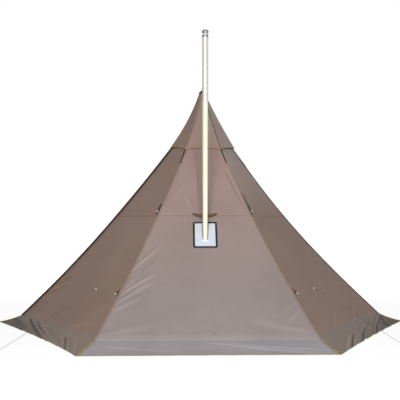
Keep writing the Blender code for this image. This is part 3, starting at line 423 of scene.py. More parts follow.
# Tension folds by wall, in millimetres, as (across, up, across, up, width, height): from where a fold starts
# to where it dies
LOWER_FOLDS = {
    0: (
        (-735, 735, -400, 1120, 16, 5), (-700, 650, -430, 1000, 20, -3.5), (-800, 500, -380, 800, 20, 5),
        (-830, 400, -440, 690, 22, 5.5), (-880, 300, -560, 500, 24, 4), (-760, 560, -520, 880, 18, 3),
        (5, 120, 130, 20, 10, -4), (900, 350, 660, 130, 20, 3), (860, 420, 700, 300, 16, 2.5),
        (-310, 1450, -268, 1330, 12, 2.4), (-205, 1450, -185, 1310, 12, 2.2),
        (-260, 1450, -240, 1360, 10, 1.8), (960, 80, 300, 260, 40, 3), (-960, 60, -400, 170, 34, 3),
    ),
    1: (
        (680, 640, 380, 720, 20, 4), (780, 420, 420, 520, 24, 5), (860, 240, 480, 330, 26, 5.5),
        (-366, 500, -80, 290, 24, 2.2), (-366, 480, 220, 180, 30, 2.2), (-760, 380, -560, 100, 22, 2.2),
        (-500, 20, -100, 240, 28, 3.5), (140, 10, 560, 240, 30, 5), (-250, 10, 90, 180, 20, 4),
    ),
    2: (
        (-780, 420, -420, 560, 24, 5), (760, 460, 460, 620, 24, 4.5), (860, 200, 420, 310, 30, 5),
        (-860, 220, -500, 260, 28, 4.5),
    ),
    3: (
        (-860, 260, -460, 420, 26, 4.5), (860, 260, 460, 420, 26, 4.5), (-680, 640, -360, 780, 22, 3.5),
        (680, 640, 360, 780, 22, 3.5),
    ),
    4: (
        (-800, 380, -460, 540, 24, 5), (740, 500, 400, 640, 24, 4.5), (860, 220, 500, 300, 28, 5.5),
        (-880, 180, -460, 240, 28, 4.5),
    ),
    5: (
        (-700, 620, -330, 700, 20, 6), (-800, 400, -420, 520, 22, 7), (-740, 540, -430, 640, 16, 7),
        (-800, 450, -560, 560, 15, 6), (-840, 340, -540, 470, 16, 7.5), (-880, 240, -640, 360, 15, 6),
        (-640, 760, -400, 880, 16, 5.5), (-600, 840, -420, 960, 15, 4.5), (-770, 490, -500, 600, 13, -5),
        (-820, 395, -620, 500, 13, -6.5), (-860, 290, -600, 410, 14, -5.5),
        (-700, 640, -480, 735, 14, -4.5), (-620, 800, -470, 900, 14, -4), (-860, 250, -520, 340, 24, 5),
        (366, 500, 60, 300, 26, 2), (366, 500, -240, 160, 32, 2), (366, 480, 220, 90, 26, 1.6),
        (760, 420, 520, 120, 26, 2.2), (-520, 900, -240, 960, 20, 3.5), (300, 20, 860, 180, 30, 3.2),
    ),
}
UPPER_FOLDS = {
    0: (
        (-110, 900, -75, 190, 12, 3.5), (-78, 920, -55, 120, 10, -2.8), (-215, 300, -115, 40, 12, 3.8),
        (-180, 330, -100, 60, 10, -2.2), (215, 640, 430, 30, 12, -4.5), (235, 660, 455, 40, 12, 4.5),
        (-350, 200, -180, 420, 20, 2.2),
    ),
    1: ((-300, 500, -180, 100, 16, 3), (260, 600, 330, 120, 18, 3)),
    2: ((-220, 640, -330, 160, 18, 3),),
    3: ((-200, 620, -300, 160, 18, 3), (200, 620, 300, 160, 18, 3)),
    4: ((220, 640, 330, 160, 18, 3),),
    5: ((-260, 620, -340, 140, 18, 3), (180, 700, 280, 240, 16, 2.6)),
}

# The skirt: how far its hem is drawn in at each wall's middle and lifted at each seam, and how high it lies
# at the least; its columns on each wall, and its length down its slope
HEM_DIP = (0.004, 0.022, 0.024, 0.022, 0.024, 0.050)
HEM_CORNER_RISE = (0.0, 0.006, 0.0, 0.0, 0.016, 0.0)
HEM_LEAST = 0.0012
SKIRT_COLUMNS = (120, 320, 110, 110, 110, 320)
SKIRT_ROWS = 34
SKIRT_SLOPE = 0.243

# The small waves of its hem, and each wall's share of them
HEM_LONG_WAVE, HEM_SHORT_WAVE = 0.0045, 0.0030
RIPPLE_SHARES = (0.35, 0.9, 1.0, 1.0, 1.0, 0.5)

# How far up the walls its upper edge laps, as shares, and how far that stands out from their face
LAP_SHARES = (0.004, 0.008, 0.0125)
LAP_PROUD = (0.0008, 0.0003, -0.0008)

# Its flat width with the lap, and the width of a wall's part and the column that its map is measured on
SKIRT_MAP_WIDTH = OUT_SHARE * 2.4
SKIRT_MAP_COLUMN = 55

# Its folds, as the walls', with distances down it instead of up, and where they die out
SKIRT_FADE = (0.7, 1.3)
SKIRT_FOLDS = {
    0: (
        (-109, 0, 1100, 200, 12, 4.8), (80, 20, 1120, 150, 14, 4), (250, 80, 1060, 230, 14, 3.6),
        (-980, 60, -300, 160, 18, 2.4),
    ),
    1: (
        (980, 10, 100, 230, 12, 15), (860, 40, 300, 225, 14, 8), (560, 20, -260, 225, 10, 16),
        (360, 50, -540, 215, 15, 7), (100, 30, -640, 225, 10, 14), (-60, 70, -840, 205, 14, 6),
        (-260, 60, -880, 225, 13, 8), (760, 20, -20, 200, 18, 8), (960, 40, 160, 230, 11, -14),
        (500, 40, -320, 225, 11, -12), (30, 50, -720, 225, 10, -10), (1060, 0, 660, 200, 18, -11),
    ),
    2: (
        (-800, 0, -300, 220, 16, 12.8), (200, 20, 600, 230, 16, 11.2), (820, 0, 480, 220, 15, 12),
        (-150, 30, 200, 230, 15, 8.8),
    ),
    3: (
        (-780, 10, -420, 220, 15, 11.2), (100, 20, 420, 230, 15, 9.6), (800, 0, 460, 220, 16, 11.2),
        (-240, 30, -40, 230, 14, 8.8),
    ),
    4: (
        (-820, 0, -440, 220, 16, 12), (260, 10, -140, 230, 16, 10.4), (800, 10, 420, 220, 15, 12),
        (480, 30, 180, 230, 14, 8.8),
    ),
    5: (
        (-860, 0, -160, 205, 10, 14), (-710, 0, 240, 215, 9, 17), (-500, 0, 280, 205, 13, 9),
        (-400, 20, 620, 230, 15, 6), (480, 60, 840, 215, 11, 15), (320, 70, 660, 195, 12, 8),
        (700, 60, 960, 180, 16, 7), (-180, 60, 480, 235, 13, 5), (-780, 0, 20, 215, 13, -13),
        (-580, 0, 260, 195, 12, -7), (-1120, 60, -560, 200, 40, -6), (430, 70, 780, 215, 10, -9),
    ),
}

# The hood: how far its hem lies above its lowest point at each seam and at each wall's middle, how far its
# seams hang inside a straight line, its faces' hollow and the ripple of its hem, in metres
HOOD_CORNER_RISE = (-0.012, 0.028, 0.012, 0.012, 0.040, -0.012)
HOOD_MIDDLE_RISE = 0.014
HOOD_SAG = (0.012, 0.012, 0.022, 0.034, 0.034, 0.034)
HOOD_HOLLOW = 0.006
HOOD_RIPPLE = 0.0022
HOOD_COLUMNS = 40
HOOD_MAP_HEIGHT = 0.75

# The height that the hood's straps reach down to, their sag, and how much of each lies sewn on the seam
STRAP_FOOT = 1.790
STRAP_SAG = 0.006
STRAP_TAIL = 0.018

# How far a felled seam and a taped one stand out from the cloth, and the width of the hood's seams
FELLED_LIFT, TAPE_LIFT = 0.0012, 0.0022
HOOD_SEAM_WIDTH = 0.010

# The left and right seams have corded welts, which show as dark edges; their dark also stands as painted
# shade for the seam's shaded edge at the outline, so the left one, on the shaded side, is thicker: radius by
# seam number, in metres
WELTS = {4: 0.0115, 1: 0.0045}

# Dark tapes beside the front seams, partly painted shade of the cloth that puckers there: seam, wall, its
# edge, and how far up the wall each reaches; then how far they lie from the seam at their ends, and how much
# further in their middle
CORNER_TAPES = ((0, 1, -1, 0.27), (5, 5, 1, 0.15))
TAPE_INSET, TAPE_BOW = 0.020, 0.018

# The door: the gap at its head, the room between its leaves as a share, and the zip's ends
DOOR_HEAD_GAP = 0.0035
DOOR_EDGE_SHARE = 0.0006 / 0.7
ZIP_FOOT, ZIP_HEAD = 0.012, 0.014
ZIP_TAPE_MIDDLE, ZIP_TAPE_HALF = 0.0088, 0.0078

# The zip's teeth: where they start and what is left over at both ends, and each one's extent across and out
# of the wall, and up it as a share of the pitch
TEETH_FOOT, TEETH_SPARE = 0.014, 0.030
TOOTH_ACROSS, TOOTH_OUT = (0.0003, 0.0042), (0.0012, 0.0024)
TOOTH_SHARE = 0.62

# The hanging loop's half width, and the share of it that is pinched away at its foot
LOOP_HALF_WIDTH, LOOP_PINCH = 0.0118, 0.28

# How far from its ring a tab keeps its own shape, and how much of what lies beyond is drawn
TAB_BODY = 0.030
TAB_TAIL_SHARES = {"belt": 0.85, "brace": 0.6, "tie_out": 0.3}
TAB_ROUNDING = 0.0006

# The jack's patch: the flue's outline is longer up the slanting wall, by one over this; its sleeve's height
# and reach, and its pucker's height and number of waves
JACK_SLANT = 0.636
SLEEVE_HEIGHT, SLEEVE_REACH = 0.010, 0.12
PUCKER_HEIGHT, PUCKER_WAVES = 0.0012, 7

# The rolled cover: its upper edge above the ground, its radius at its ends and what its middle adds to
# that, its sag, the distance of its ties from its ends, and its turns
COVER_TOP = 1.244
COVER_THIN, COVER_SWELL = 0.0050, 0.0150
COVER_SAG = 0.012
COVER_TIE_INSET = 0.045
COVER_TURNS = 2.4

# How far the lower walls' seams run out for each metre down
LOWER_SPREAD = 0.951

# A guy line's knots: their reach from the line and what their lobes add to that, half their length, and the
# radius of the cord in them
KNOT_REACH, KNOT_LOBE, KNOT_HALF, KNOT_CORD = 0.0030, 0.0008, 0.0042, 0.0013

# Camera: place, turn to the left in degrees, focal length and sensor in millimetres, and shift
CAMERA_PLACE = (-0.24935, -8.06915, 1.163)
CAMERA_TURN = 1.77
CAMERA_LENS, CAMERA_SENSOR = 63.45, 36.0
CAMERA_SHIFT = (-0.00525, 0.052)

# Lamps: name, place, width, power and colour, all aimed at the point 1 m above the origin
LAMPS = (
    ("key", (-0.35, -10.4, 3.2), 5.0, 880.0, "#FCFCFF"),
    ("back", (0.0, 10.0, 2.0), 4.0, 430.0, "#FFFFFF"),
    ("rim_left", (-6.4, 8.6, 6.4), 4.0, 40.0, "#FFFFFF"),
    ("rim_right", (8.6, 3.0, 5.0), 4.0, 48.0, "#D6E4FF"),
)
FLOOR_REACH = 40.0
FLOOR_LEVEL = -0.001


def hang(band):
    """How far a band's seams hang inside a straight line, in metres."""
    return sizes().seam_sag if band is LOWER else sizes().upper_sag


def seam_radius(band, share, sag=None):
    """A seam's radius: the straight line between two rings less a parabola, deepest halfway up."""
    (r0, _), (r1, _) = band
    return r0 + (r1 - r0) * share - (hang(band) if sag is None else sag) * 4 * share * (1 - share)


def fold_height(folds, across, up, fade=(0.45, 1.05)):
    """The sum of tension folds, in metres. Each is a bell curve of the distance from its line, with a shallow
    trough on either side, which swells from where it starts and dies out over the shares of its length in
    fade."""
    height = np.zeros_like(across)
    for a0, u0, a1, u1, width, lift in np.array(folds) / 1000:
        run = math.hypot(a1 - a0, u1 - u0)
        way = ((a1 - a0) / run, (u1 - u0) / run)
        along = ((across - a0) * way[0] + (up - u0) * way[1]) / run
        on_line = np.clip(along, 0, 1)
        beside = (across - a0) * way[1] - (up - u0) * way[0] + 0.05 * run * on_line * (1 - on_line)
        spread = beside / (width * (0.7 + 0.9 * on_line))
        swell = smooth(-0.02, 0.16, along) * (1 - smooth(*fade, along))
        height += lift * swell * np.exp(-spread ** 2) * (1 - 0.55 * spread ** 2)
    return height


def wear_and_fold_shading(lift, fold_shading_gain, painted_shade):
    """Painted light on folded cloth: up to 1 for a painted highlight on a crest and down to -1 for painted
    shade in a trough, in step with the lift.
    """
    return np.clip(np.where(lift > 0, lift, painted_shade * lift) * fold_shading_gain, -1, 1)


def wall_relief(wall, band, across_share, up_share):
    """How far a wall's cloth is lifted, in metres, in two layers: its tension folds, and a slow unevenness,
    which is two products of slanting sine waves, a long one and a short one. Both die out towards its
    seams, its foot and its head, and beside the door's zip."""
    half = SIDE_SHARE * seam_radius(band, up_share)
    length, _, _ = face_axes(band, wall)
    side, up = across_share * half, up_share * length
    folds = fold_height((LOWER_FOLDS if band is LOWER else UPPER_FOLDS)[wall], side, up) * sizes().fold_depth
    phase = wall * 1.7 + (0 if band is LOWER else 3.1)
    waves = (LONG_WAVE * np.sin(5.1 * side + 3.3 * up + phase) * np.sin(3.7 * up - 2.9 * side + 2 * phase)
             + SHORT_WAVE * np.sin(13 * side - 9 * up + 3 * phase) * np.sin(11 * up + 6 * side + phase))
    ease = smooth(0, SEAM_EASE, (1 - np.abs(across_share)) * half)
    ease = ease * smooth(0, END_EASE, up) * smooth(0, END_EASE, length - up)
    if wall == REAR and band is LOWER:
        ease = ease * smooth(*ZIP_EASE, np.abs(side))
    return folds * ease, waves * ease


def wall_fold_shading(wall, band, across_share, up_share):
    """The painted highlight and shade of the folds at each point of a wall."""
    folds, _ = wall_relief(wall, band, *np.broadcast_arrays(across_share, up_share))
    return wear_and_fold_shading(folds, WALL_FOLD_SHADING, WALL_TROUGH_SHADE)


def wall_surface(wall, band, across_share, up_share, folds=True):
    """Points of one wall. across_share runs from -1 to 1 between its seams and up_share from 0 to 1.
    The wall is ruled between its sagging seams, its middle line is drawn back towards the straight
    slope by (1 - across²), its edges dip in, and folds and a slow unevenness lie on top of that."""
    (_, z0), (_, z1) = band
    across_share, up_share = np.broadcast_arrays(np.asarray(across_share, float), np.asarray(up_share, float))
    seam = seam_radius(band, up_share)
    middle = 1 - across_share ** 2
    outward = OUT_SHARE * (seam + hang(band) * 4 * up_share * (1 - up_share) * BELLY[wall] * middle)
    to_belt = up_share if band is LOWER else 1 - up_share
    dips = BELT_DIP[wall] * to_belt ** 3
    if band is LOWER:
        dips = dips + FOOT_DIP[wall] * (1 - up_share) ** 3
    outward = outward - dips * middle
    side = across_share * SIDE_SHARE * seam
    drawn = np.sin(np.pi / 2 * to_belt) ** 1.5
    for number, way in ((wall, 1), ((wall - 1) % WALL_COUNT, -1)):
        inset = BELT_INSET[number] * drawn * ((1 + way * across_share) / 2) ** 2
        outward = outward - OUT_SHARE * inset
        side = side - way * SIDE_SHARE * inset
    points = placed(wall, outward, side, z0 + (z1 - z0) * up_share)
    if folds:
        _, _, face = face_axes(band, wall)
        points = points + sum(wall_relief(wall, band, across_share, up_share))[..., None] * face
    return points


def skirt_turn():
    """Where the skirt's columns lie, in turns of a wall each: closest on the two most folded walls."""
    return np.concatenate([wall + np.arange(count) / count for wall, count in enumerate(SKIRT_COLUMNS)])


def skirt_surface(turn, down):
    """Points of the skirt, and the painted fold highlight and shade of each, at turns of a wall each and
    shares down from foot to hem.
    Each point lies between the walls' foot and the hem, which is drawn in between its corners.
    Folds run slantwise over it, and two sines along it make small waves that grow towards the hem; both
    start below its upper edge and stop short of its corners."""
    turn, down = np.broadcast_arrays(turn, down)
    wall, across_share = turn_walls(turn)
    middle = 1 - across_share ** 2
    side = across_share * SIDE_SHARE * (FOOT[0] + (HEM[0] - FOOT[0]) * down)
    folds = np.zeros_like(down)
    for number, table in SKIRT_FOLDS.items():
        folds = folds + np.where(wall == number, fold_height(table, side, down * SKIRT_SLOPE, SKIRT_FADE), 0)
    waves = (HEM_LONG_WAVE * (1 + np.sin(side * 23 + wall * 2.1))
             + HEM_SHORT_WAVE * (1 + np.sin(side * 41 + wall * 1.3)))
    ease = smooth(0, 0.14, down) * smooth(0, 0.04, 1 - np.abs(across_share))
    folds, waves = folds * ease, waves * np.array(RIPPLE_SHARES)[wall] * down * middle * ease
    foot = OUT_SHARE * FOOT[0] - np.array(FOOT_DIP)[wall] * middle
    hem = OUT_SHARE * HEM[0] - np.array(HEM_DIP)[wall] * middle ** 0.8
    left, right = at_seams(HEM_CORNER_RISE, wall)
    share = (1 + across_share) / 2
    height = FOOT[1] * (0.62 * (1 - down) + 0.38 * (1 - down) ** 2)
    height = height + down * (left * (1 - share) ** 4 + right * share ** 4)
    height = np.maximum(height + (folds + waves) * (1 - 0.4 * down), HEM_LEAST)
    return placed(wall, foot + (hem - foot) * down, side, height), wear_and_fold_shading(folds, SKIRT_FOLD_SHADING, SKIRT_TROUGH_SHADE)


def hood_surface(turn, up):
    """Points of the hood: six faces between its sagging seams, a little hollow between them and rippled
    near the hem, which arches up between its corners."""
    turn, up = np.broadcast_arrays(turn, up)
    wall, across_share = turn_walls(turn)
    middle = 1 - across_share ** 2
    tall = HOOD_TIP[1] - HOOD_HEM[1]
    start = (between_seams(HOOD_CORNER_RISE, wall, across_share) + HOOD_MIDDLE_RISE * middle) / tall
    up = start + (1 - start) * up
    seam = seam_radius((HOOD_HEM, HOOD_TIP), up, between_seams(HOOD_SAG, wall, across_share))
    side = across_share * SIDE_SHARE * seam
    outward = OUT_SHARE * seam - HOOD_HOLLOW * middle * 4 * up * (1 - up)
    outward = outward + HOOD_RIPPLE * np.sin(side * 34 + wall * 1.9 + 2.0 * up) * middle * (1 - up)
    return placed(wall, outward, side, HOOD_HEM[1] + tall * up)


def jack_surface(across, up, lift):
    """Points of the front wall's cloth round the jack, in metres across and up it, lifted off its face."""
    length, _, face = face_axes(LOWER, FRONT)
    share = up / length
    points = wall_surface(FRONT, LOWER, across / (SIDE_SHARE * seam_radius(LOWER, share)), share, folds=False)
    return points + np.asarray(lift)[..., None] * face


def flue_crossing():
    """How far up the front wall its cloth meets the flue's axis."""
    up = np.linspace(JACK_LOW, JACK_HIGH, 400)
    points = jack_surface(np.zeros_like(up), up, np.zeros_like(up))
    return float(np.interp(FLUE_Y, points[:, 1], up))


def rounded_frame(half_width, half_height, count):
    """Points round a superellipse of exponent 36, which is nearly a rectangle, anticlockwise."""
    angles = np.linspace(0, 2 * np.pi, count, endpoint=False)
    x, y = (np.sign(wave) * np.abs(wave) ** (2 / 36) for wave in (np.cos(angles), np.sin(angles)))
    return np.stack([x * half_width, y * half_height], axis=1)


# Materials


def add(tree, kind, inputs=None, out=0, **settings):
    """Adds a node with its settings, fills its inputs with values or links them to the sockets given, and
    returns the output that out names or numbers."""
    made = tree.nodes.new("ShaderNode" + kind)
    for name, value in settings.items():
        setattr(made, name, value)
    for name, value in (inputs or {}).items():
        if isinstance(value, bpy.types.NodeSocket):
            tree.links.new(value, made.inputs[name])
        else:
            made.inputs[name].default_value = value
    return made.outputs[out] if len(made.outputs) else None


def finish(name, build, *values):
    """The material of that name, made when it is first asked for: build adds the nodes of its patterns and
    returns what goes into its shader."""
    material = bpy.data.materials.get(name)
    if material is None:
        material = bpy.data.materials.new(name)
        material.use_nodes = True
        tree = material.node_tree
        tree.nodes.clear()
        shader = add(tree, "BsdfPrincipled", build(tree, *values))
        add(tree, "OutputMaterial", {"Surface": shader})
    return material


def weave(tree, place, pitch):
    """The height of a plain weave, from 0 to 2: threads along both axes of the map, pitch metres apart."""
    bands = {"Vector": place, "Scale": math.pi / (10 * pitch), "Distortion": 0.4, "Detail": 1.0}
    warp = add(tree, "TexWave", bands, "Fac", bands_direction="X")
    weft = add(tree, "TexWave", bands, "Fac", bands_direction="Y")
    return add(tree, "Math", {0: warp, 1: weft}, operation="ADD")


def stitches(tree, strip, distance):
    """1 on the stitches of a row on either side of a strip's middle, at that distance from it in metres.
    Stitches of 3 mm and 0.3 mm thread are drawn 5.6 mm long, 9 mm apart and 1.4 mm wide, to show."""
    across, along, _ = add(tree, "SeparateXYZ", {"Vector": strip}, slice(None))
    across = add(tree, "Math", {0: across}, operation="ABSOLUTE")
    row = add(tree, "Math", {0: across, 1: distance, 2: 0.0007}, operation="COMPARE")
    step = add(tree, "Math", {0: along, 1: 0.009}, operation="FLOORED_MODULO")
    dash = add(tree, "Math", {0: step, 1: 0.0056}, operation="LESS_THAN")
    return add(tree, "Math", {0: row, 1: dash}, operation="MULTIPLY")


def mottling(tree, place, darkest, palest, noise):
    """Patches from darkest to palest: the middle of a noise's range, stretched to them."""
    patches = add(tree, "TexNoise", {"Vector": place, **noise})
    return add(tree, "MapRange", {"Value": patches, "From Min": 0.3, "From Max": 0.7, "To Min": darkest,
                                  "To Max": palest})


def canvas(tree, sewn):
    """Cotton-blend tent canvas, woven, proofed and folded: matt and faintly mottled. Light is painted into
    it:
    the front wall is paler than the others, warmer high up and cooler at its foot, as painted light and
    sheen;
    high on the right front wall and on the hood face above it the cloth is paler, a painted highlight; the
    skirt is greyer, and paler before the front wall, as painted light; its side corners darken near the
    ground, as painted shade; and its folds carry painted highlights on their crests and painted shade in
    their troughs. Sewn, it has two rows of stitches."""
    look = colours()
    cloth_map = add(tree, "TexCoord", out="UV")
    world = add(tree, "TexCoord", out="Object")
    x, y, z = add(tree, "SeparateXYZ", {"Vector": world}, slice(None))
    # The front wall and the skirt before it lie where |x| times the square root of 3 is less than -y
    off_middle = add(tree, "Math", {0: x}, operation="ABSOLUTE")
    aside = add(tree, "Math", {0: off_middle, 1: math.sqrt(3), 2: y}, operation="MULTIPLY_ADD")
    front = add(tree, "MapRange", {"Value": aside, "From Min": 0.01, "From Max": -0.05})
    # Painted light and sheen: the front wall is drawn paler than the others, warmer high up and cooler
    # towards its foot
    drop = add(tree, "MapRange", {"Value": z, "From Min": 1.5, "From Max": 0.4})
    front_light = add(tree, "Mix", {0: drop, 6: linear(look.cloth_high), 7: linear(look.cloth_low)}, 2,
                data_type="RGBA")
    # The painted highlight lies high on the right wall, the one before the seam that runs down the middle of
    # the right side, and on the hood face above it
    side = add(tree, "MapRange", {"Value": x, "From Min": 0.01, "From Max": 0.09})
    side = add(tree, "MapRange", {"Value": y, "From Min": 0.01, "From Max": -0.01, "To Max": side})
    right_highlight = add(tree, "MapRange", {"Value": z, "From Min": 1.15, "From Max": 1.80, "To Max": side})
    colour = add(tree, "Mix", {0: right_highlight, 6: linear(look.cloth), 7: linear(look.cloth_highlight)}, 2,
                 data_type="RGBA")
    # Painted light: the skirt and the walls' foot are greyer, for the light on the skirt's flatter slope
    low = add(tree, "MapRange", {"Value": z, "From Min": 0.16, "From Max": 0.08})
    colour = add(tree, "Mix", {0: low, 6: colour, 7: linear(look.cloth_skirt)}, 2, data_type="RGBA")
    colour = add(tree, "Mix", {0: front, 6: colour, 7: front_light}, 2, data_type="RGBA")
    # Painted sheen: the skirt before the front wall is paler and cooler, for the light that the pale floor
    # throws on it
    front_skirt_sheen = add(tree, "MapRange", {"Value": z, "From Min": 0.15, "From Max": 0.04, "To Max": front})
    colour = add(tree, "Mix", {0: front_skirt_sheen, 6: colour, 7: linear(look.cloth_foot)}, 2, data_type="RGBA")
    ground = add(tree, "MapRange", {"Value": z, "From Min": 0.11, "From Max": 0.02})
    # The skirt is darkened near the ground as painted shade, most at the two corners to the sides, and little
    # at the four others
    flank = add(tree, "MapRange", {"Value": off_middle, "From Min": 1.35, "From Max": 2.15, "To Min": 0.12,
                                   "To Max": 1.1})
    painted_shade = add(tree, "MapRange", {"Value": front, "To Min": ground, "To Max": 0.0})
    painted_shade = add(tree, "Math", {0: painted_shade, 1: flank}, operation="MULTIPLY")
    colour = add(tree, "Mix", {0: painted_shade, 6: colour, 7: linear(look.cloth_shade)}, 2, data_type="RGBA")
    slow = mottling(tree, world, 0.93, 1.05, {"Scale": 2.2, "Detail": 4.0, "Roughness": 0.55})
    fine = mottling(tree, world, 0.985, 1.015, {"Scale": 26.0, "Detail": 3.0, "Roughness": 0.6})
    # Painted light on the folds: a painted highlight on their crests and painted shade in their troughs
    fold_shading = add(tree, "Attribute", out="Fac", attribute_name="fold_shading")
    fold_shading = add(tree, "MapRange", {"Value": fold_shading, "From Min": -1.0, "To Min": FOLD_SHADE_DARKEST,
                                    "To Max": FOLD_HIGHLIGHT_PALEST})
    shade = add(tree, "Math", {0: slow, 1: fine}, operation="MULTIPLY")
    shade = add(tree, "Math", {0: shade, 1: fold_shading}, operation="MULTIPLY")
    colour = add(tree, "HueSaturation", {"Color": colour, "Value": shade})
    if sewn:
        thread = stitches(tree, cloth_map, 0.0045)
        colour = add(tree, "Mix", {0: thread, 6: colour, 7: linear("#7C6A5E")}, 2, data_type="RGBA")
    # Yarns of 0.5 mm drawn 2.5 mm apart, so that a close view shows the weave
    threads = weave(tree, cloth_map, 0.0025)
    crumple = add(tree, "TexNoise", {"Vector": world, "Scale": 7.0, "Detail": 5.0, "Roughness": 0.55})
    height = add(tree, "Math", {0: threads, 1: 0.04, 2: crumple}, operation="MULTIPLY_ADD")
    normal = add(tree, "Bump", {"Height": height, "Strength": 0.55, "Distance": 0.0045})
    return {"Base Color": colour, "Roughness": 0.54, "Specular IOR Level": 0.15, "Normal": normal}


def ribbed(tree, code, roughness, pitch, stitch=None):
    """Woven tape, webbing or binding: matt, with ribs across it. stitch is a row's distance from the middle
    and the colour of its thread."""
    strip = add(tree, "TexCoord", out="UV")
    world = add(tree, "TexCoord", out="Object")
    rib = add(tree, "TexWave", {"Vector": strip, "Scale": math.pi / (10 * pitch), "Distortion": 0.3}, "Fac",
              bands_direction="Y")
    tone = mottling(tree, world, 0.82, 1.12, {"Scale": 40.0, "Detail": 3.0})
    shade = add(tree, "MapRange", {"Value": rib, "To Min": 0.86, "To Max": 1.06})
    shade = add(tree, "Math", {0: tone, 1: shade}, operation="MULTIPLY")
    colour = add(tree, "HueSaturation", {"Color": linear(code), "Value": shade})
    if stitch:
        thread = stitches(tree, strip, stitch[0])
        colour = add(tree, "Mix", {0: thread, 6: colour, 7: linear(stitch[1])}, 2, data_type="RGBA")
        rib = add(tree, "Math", {0: thread, 1: 1.5, 2: rib}, operation="MULTIPLY_ADD")
    normal = add(tree, "Bump", {"Height": rib, "Strength": 0.6, "Distance": 0.0004})
    return {"Base Color": colour, "Roughness": roughness, "Sheen Weight": 0.12,
            "Specular IOR Level": 0.25, "Normal": normal}


def glass_cloth(tree):
    """Silicone-coated glass-fibre cloth: pale, smooth and slightly glossy, with the yarns' faint grid."""
    # Glass yarns of 1 mm drawn 9 mm apart, as wide as the grid that shows from 8 m
    grid = weave(tree, add(tree, "TexCoord", out="UV"), 0.009)
    tone = add(tree, "MapRange", {"Value": grid, "From Min": 0.4, "From Max": 1.8, "To Min": 0.95,
                                  "To Max": 1.02})
    world = add(tree, "TexCoord", out="Object")
    soot = add(tree, "TexNoise", {"Vector": world, "Scale": 14.0, "Detail": 4.0})
    soot = add(tree, "MapRange", {"Value": soot, "From Min": 0.35, "From Max": 0.7, "To Min": 0.96,
                                  "To Max": 1.02})
    shade = add(tree, "Math", {0: tone, 1: soot}, operation="MULTIPLY")
    colour = add(tree, "HueSaturation", {"Color": linear(colours().jack), "Value": shade})
    normal = add(tree, "Bump", {"Height": grid, "Strength": 0.5, "Distance": 0.0002})
    return {"Base Color": colour, "Roughness": 0.42, "Specular IOR Level": 0.45, "Coat Weight": 0.15,
            "Coat Roughness": 0.35, "Normal": normal}


def netting(tree):
    """Black polyester mosquito net, knitted: hair-thin dark threads with open holes between them."""
    # Holes of 1.2 mm drawn 6 mm apart
    knit = weave(tree, add(tree, "TexCoord", out="UV"), 0.006)
    thread = add(tree, "MapRange", {"Value": knit, "From Min": 0.75, "From Max": 0.95})
    normal = add(tree, "Bump", {"Height": knit, "Strength": 0.4, "Distance": 0.0002})
    return {"Base Color": linear("#1B1B1C"), "Roughness": 0.8, "Sheen Weight": 0.1, "Alpha": thread,
            "Normal": normal}


def moulded(tree, code, roughness):
    """Injection-moulded plastic: even colour, a fine grain, and a gloss broken up by handling."""
    world = add(tree, "TexCoord", out="Object")
    # A spark-eroded grain of 0.1 mm drawn 1 mm wide
    grain = add(tree, "TexNoise", {"Vector": world, "Scale": 900.0})
    wear_and_fold_shading = add(tree, "TexNoise", {"Vector": world, "Scale": 60.0, "Detail": 3.0})
    tone = add(tree, "MapRange", {"Value": wear_and_fold_shading, "From Min": 0.3, "From Max": 0.7, "To Min": 0.93,
                                  "To Max": 1.04})
    colour = add(tree, "HueSaturation", {"Color": linear(code), "Value": tone})
    dull = add(tree, "MapRange", {"Value": wear_and_fold_shading, "From Min": 0.2, "From Max": 0.8, "To Min": roughness * 0.8,
                                  "To Max": roughness * 1.25})
    normal = add(tree, "Bump", {"Height": grain, "Strength": 0.3, "Distance": 0.0001})
    return {"Base Color": colour, "Roughness": dull, "IOR": 1.46, "Normal": normal}


def metal(tree, code, roughness, grain=(1.0, 1.0, 1.0), tint=None, edge=None):
    """Drawn, ground or plated metal: fine lines where grain is small, and a gloss that varies with them and
    with handling. tint is the colour that heat gives it below one height and not above another. edge is a
    painted reflection: the colour multiplied in where the surface turns aslant to the view, darkening its
    rims."""
    world = add(tree, "TexCoord", out="Object")
    lined = add(tree, "Mapping", {"Vector": world, "Scale": grain})
    # Grinding lines of 0.2 mm drawn 2 mm wide
    lines = add(tree, "TexNoise", {"Vector": lined, "Scale": 500.0})
    smear = add(tree, "TexNoise", {"Vector": world, "Scale": 9.0, "Detail": 4.0})
    both = add(tree, "Mix", {0: 0.4, 2: lines, 3: smear})
    dull = add(tree, "MapRange", {"Value": both, "From Min": 0.3, "From Max": 0.7, "To Min": roughness * 0.75,
                                  "To Max": roughness * 1.3})
    tone = add(tree, "MapRange", {"Value": both, "From Min": 0.3, "From Max": 0.7, "To Min": 0.94})
    colour = add(tree, "HueSaturation", {"Color": linear(code), "Value": tone})
    if tint:
        hot, low, high = tint
        height = add(tree, "SeparateXYZ", {"Vector": world}, "Z")
        height = add(tree, "Math", {0: smear, 1: 0.25, 2: height}, operation="MULTIPLY_ADD")
        heat = add(tree, "MapRange", {"Value": height, "From Min": high, "From Max": low})
        colour = add(tree, "Mix", {0: heat, 6: colour, 7: linear(hot)}, 2, data_type="RGBA")
    if edge:
        # Painted reflection: the rims that turn aslant to the view are darkened by the edge colour
        painted_rim_reflection = add(tree, "LayerWeight", {"Blend": 0.5}, "Facing")
        painted_rim_reflection = add(tree, "MapRange", {"Value": painted_rim_reflection, "From Min": 0.25, "From Max": 0.75})
        colour = add(tree, "Mix", {0: painted_rim_reflection, 6: colour, 7: linear(edge)}, 2, data_type="RGBA",
                     blend_type="MULTIPLY")
    normal = add(tree, "Bump", {"Height": lines, "Strength": 0.4, "Distance": 0.00004})
    return {"Base Color": colour, "Roughness": dull, "Metallic": 1.0, "Normal": normal}


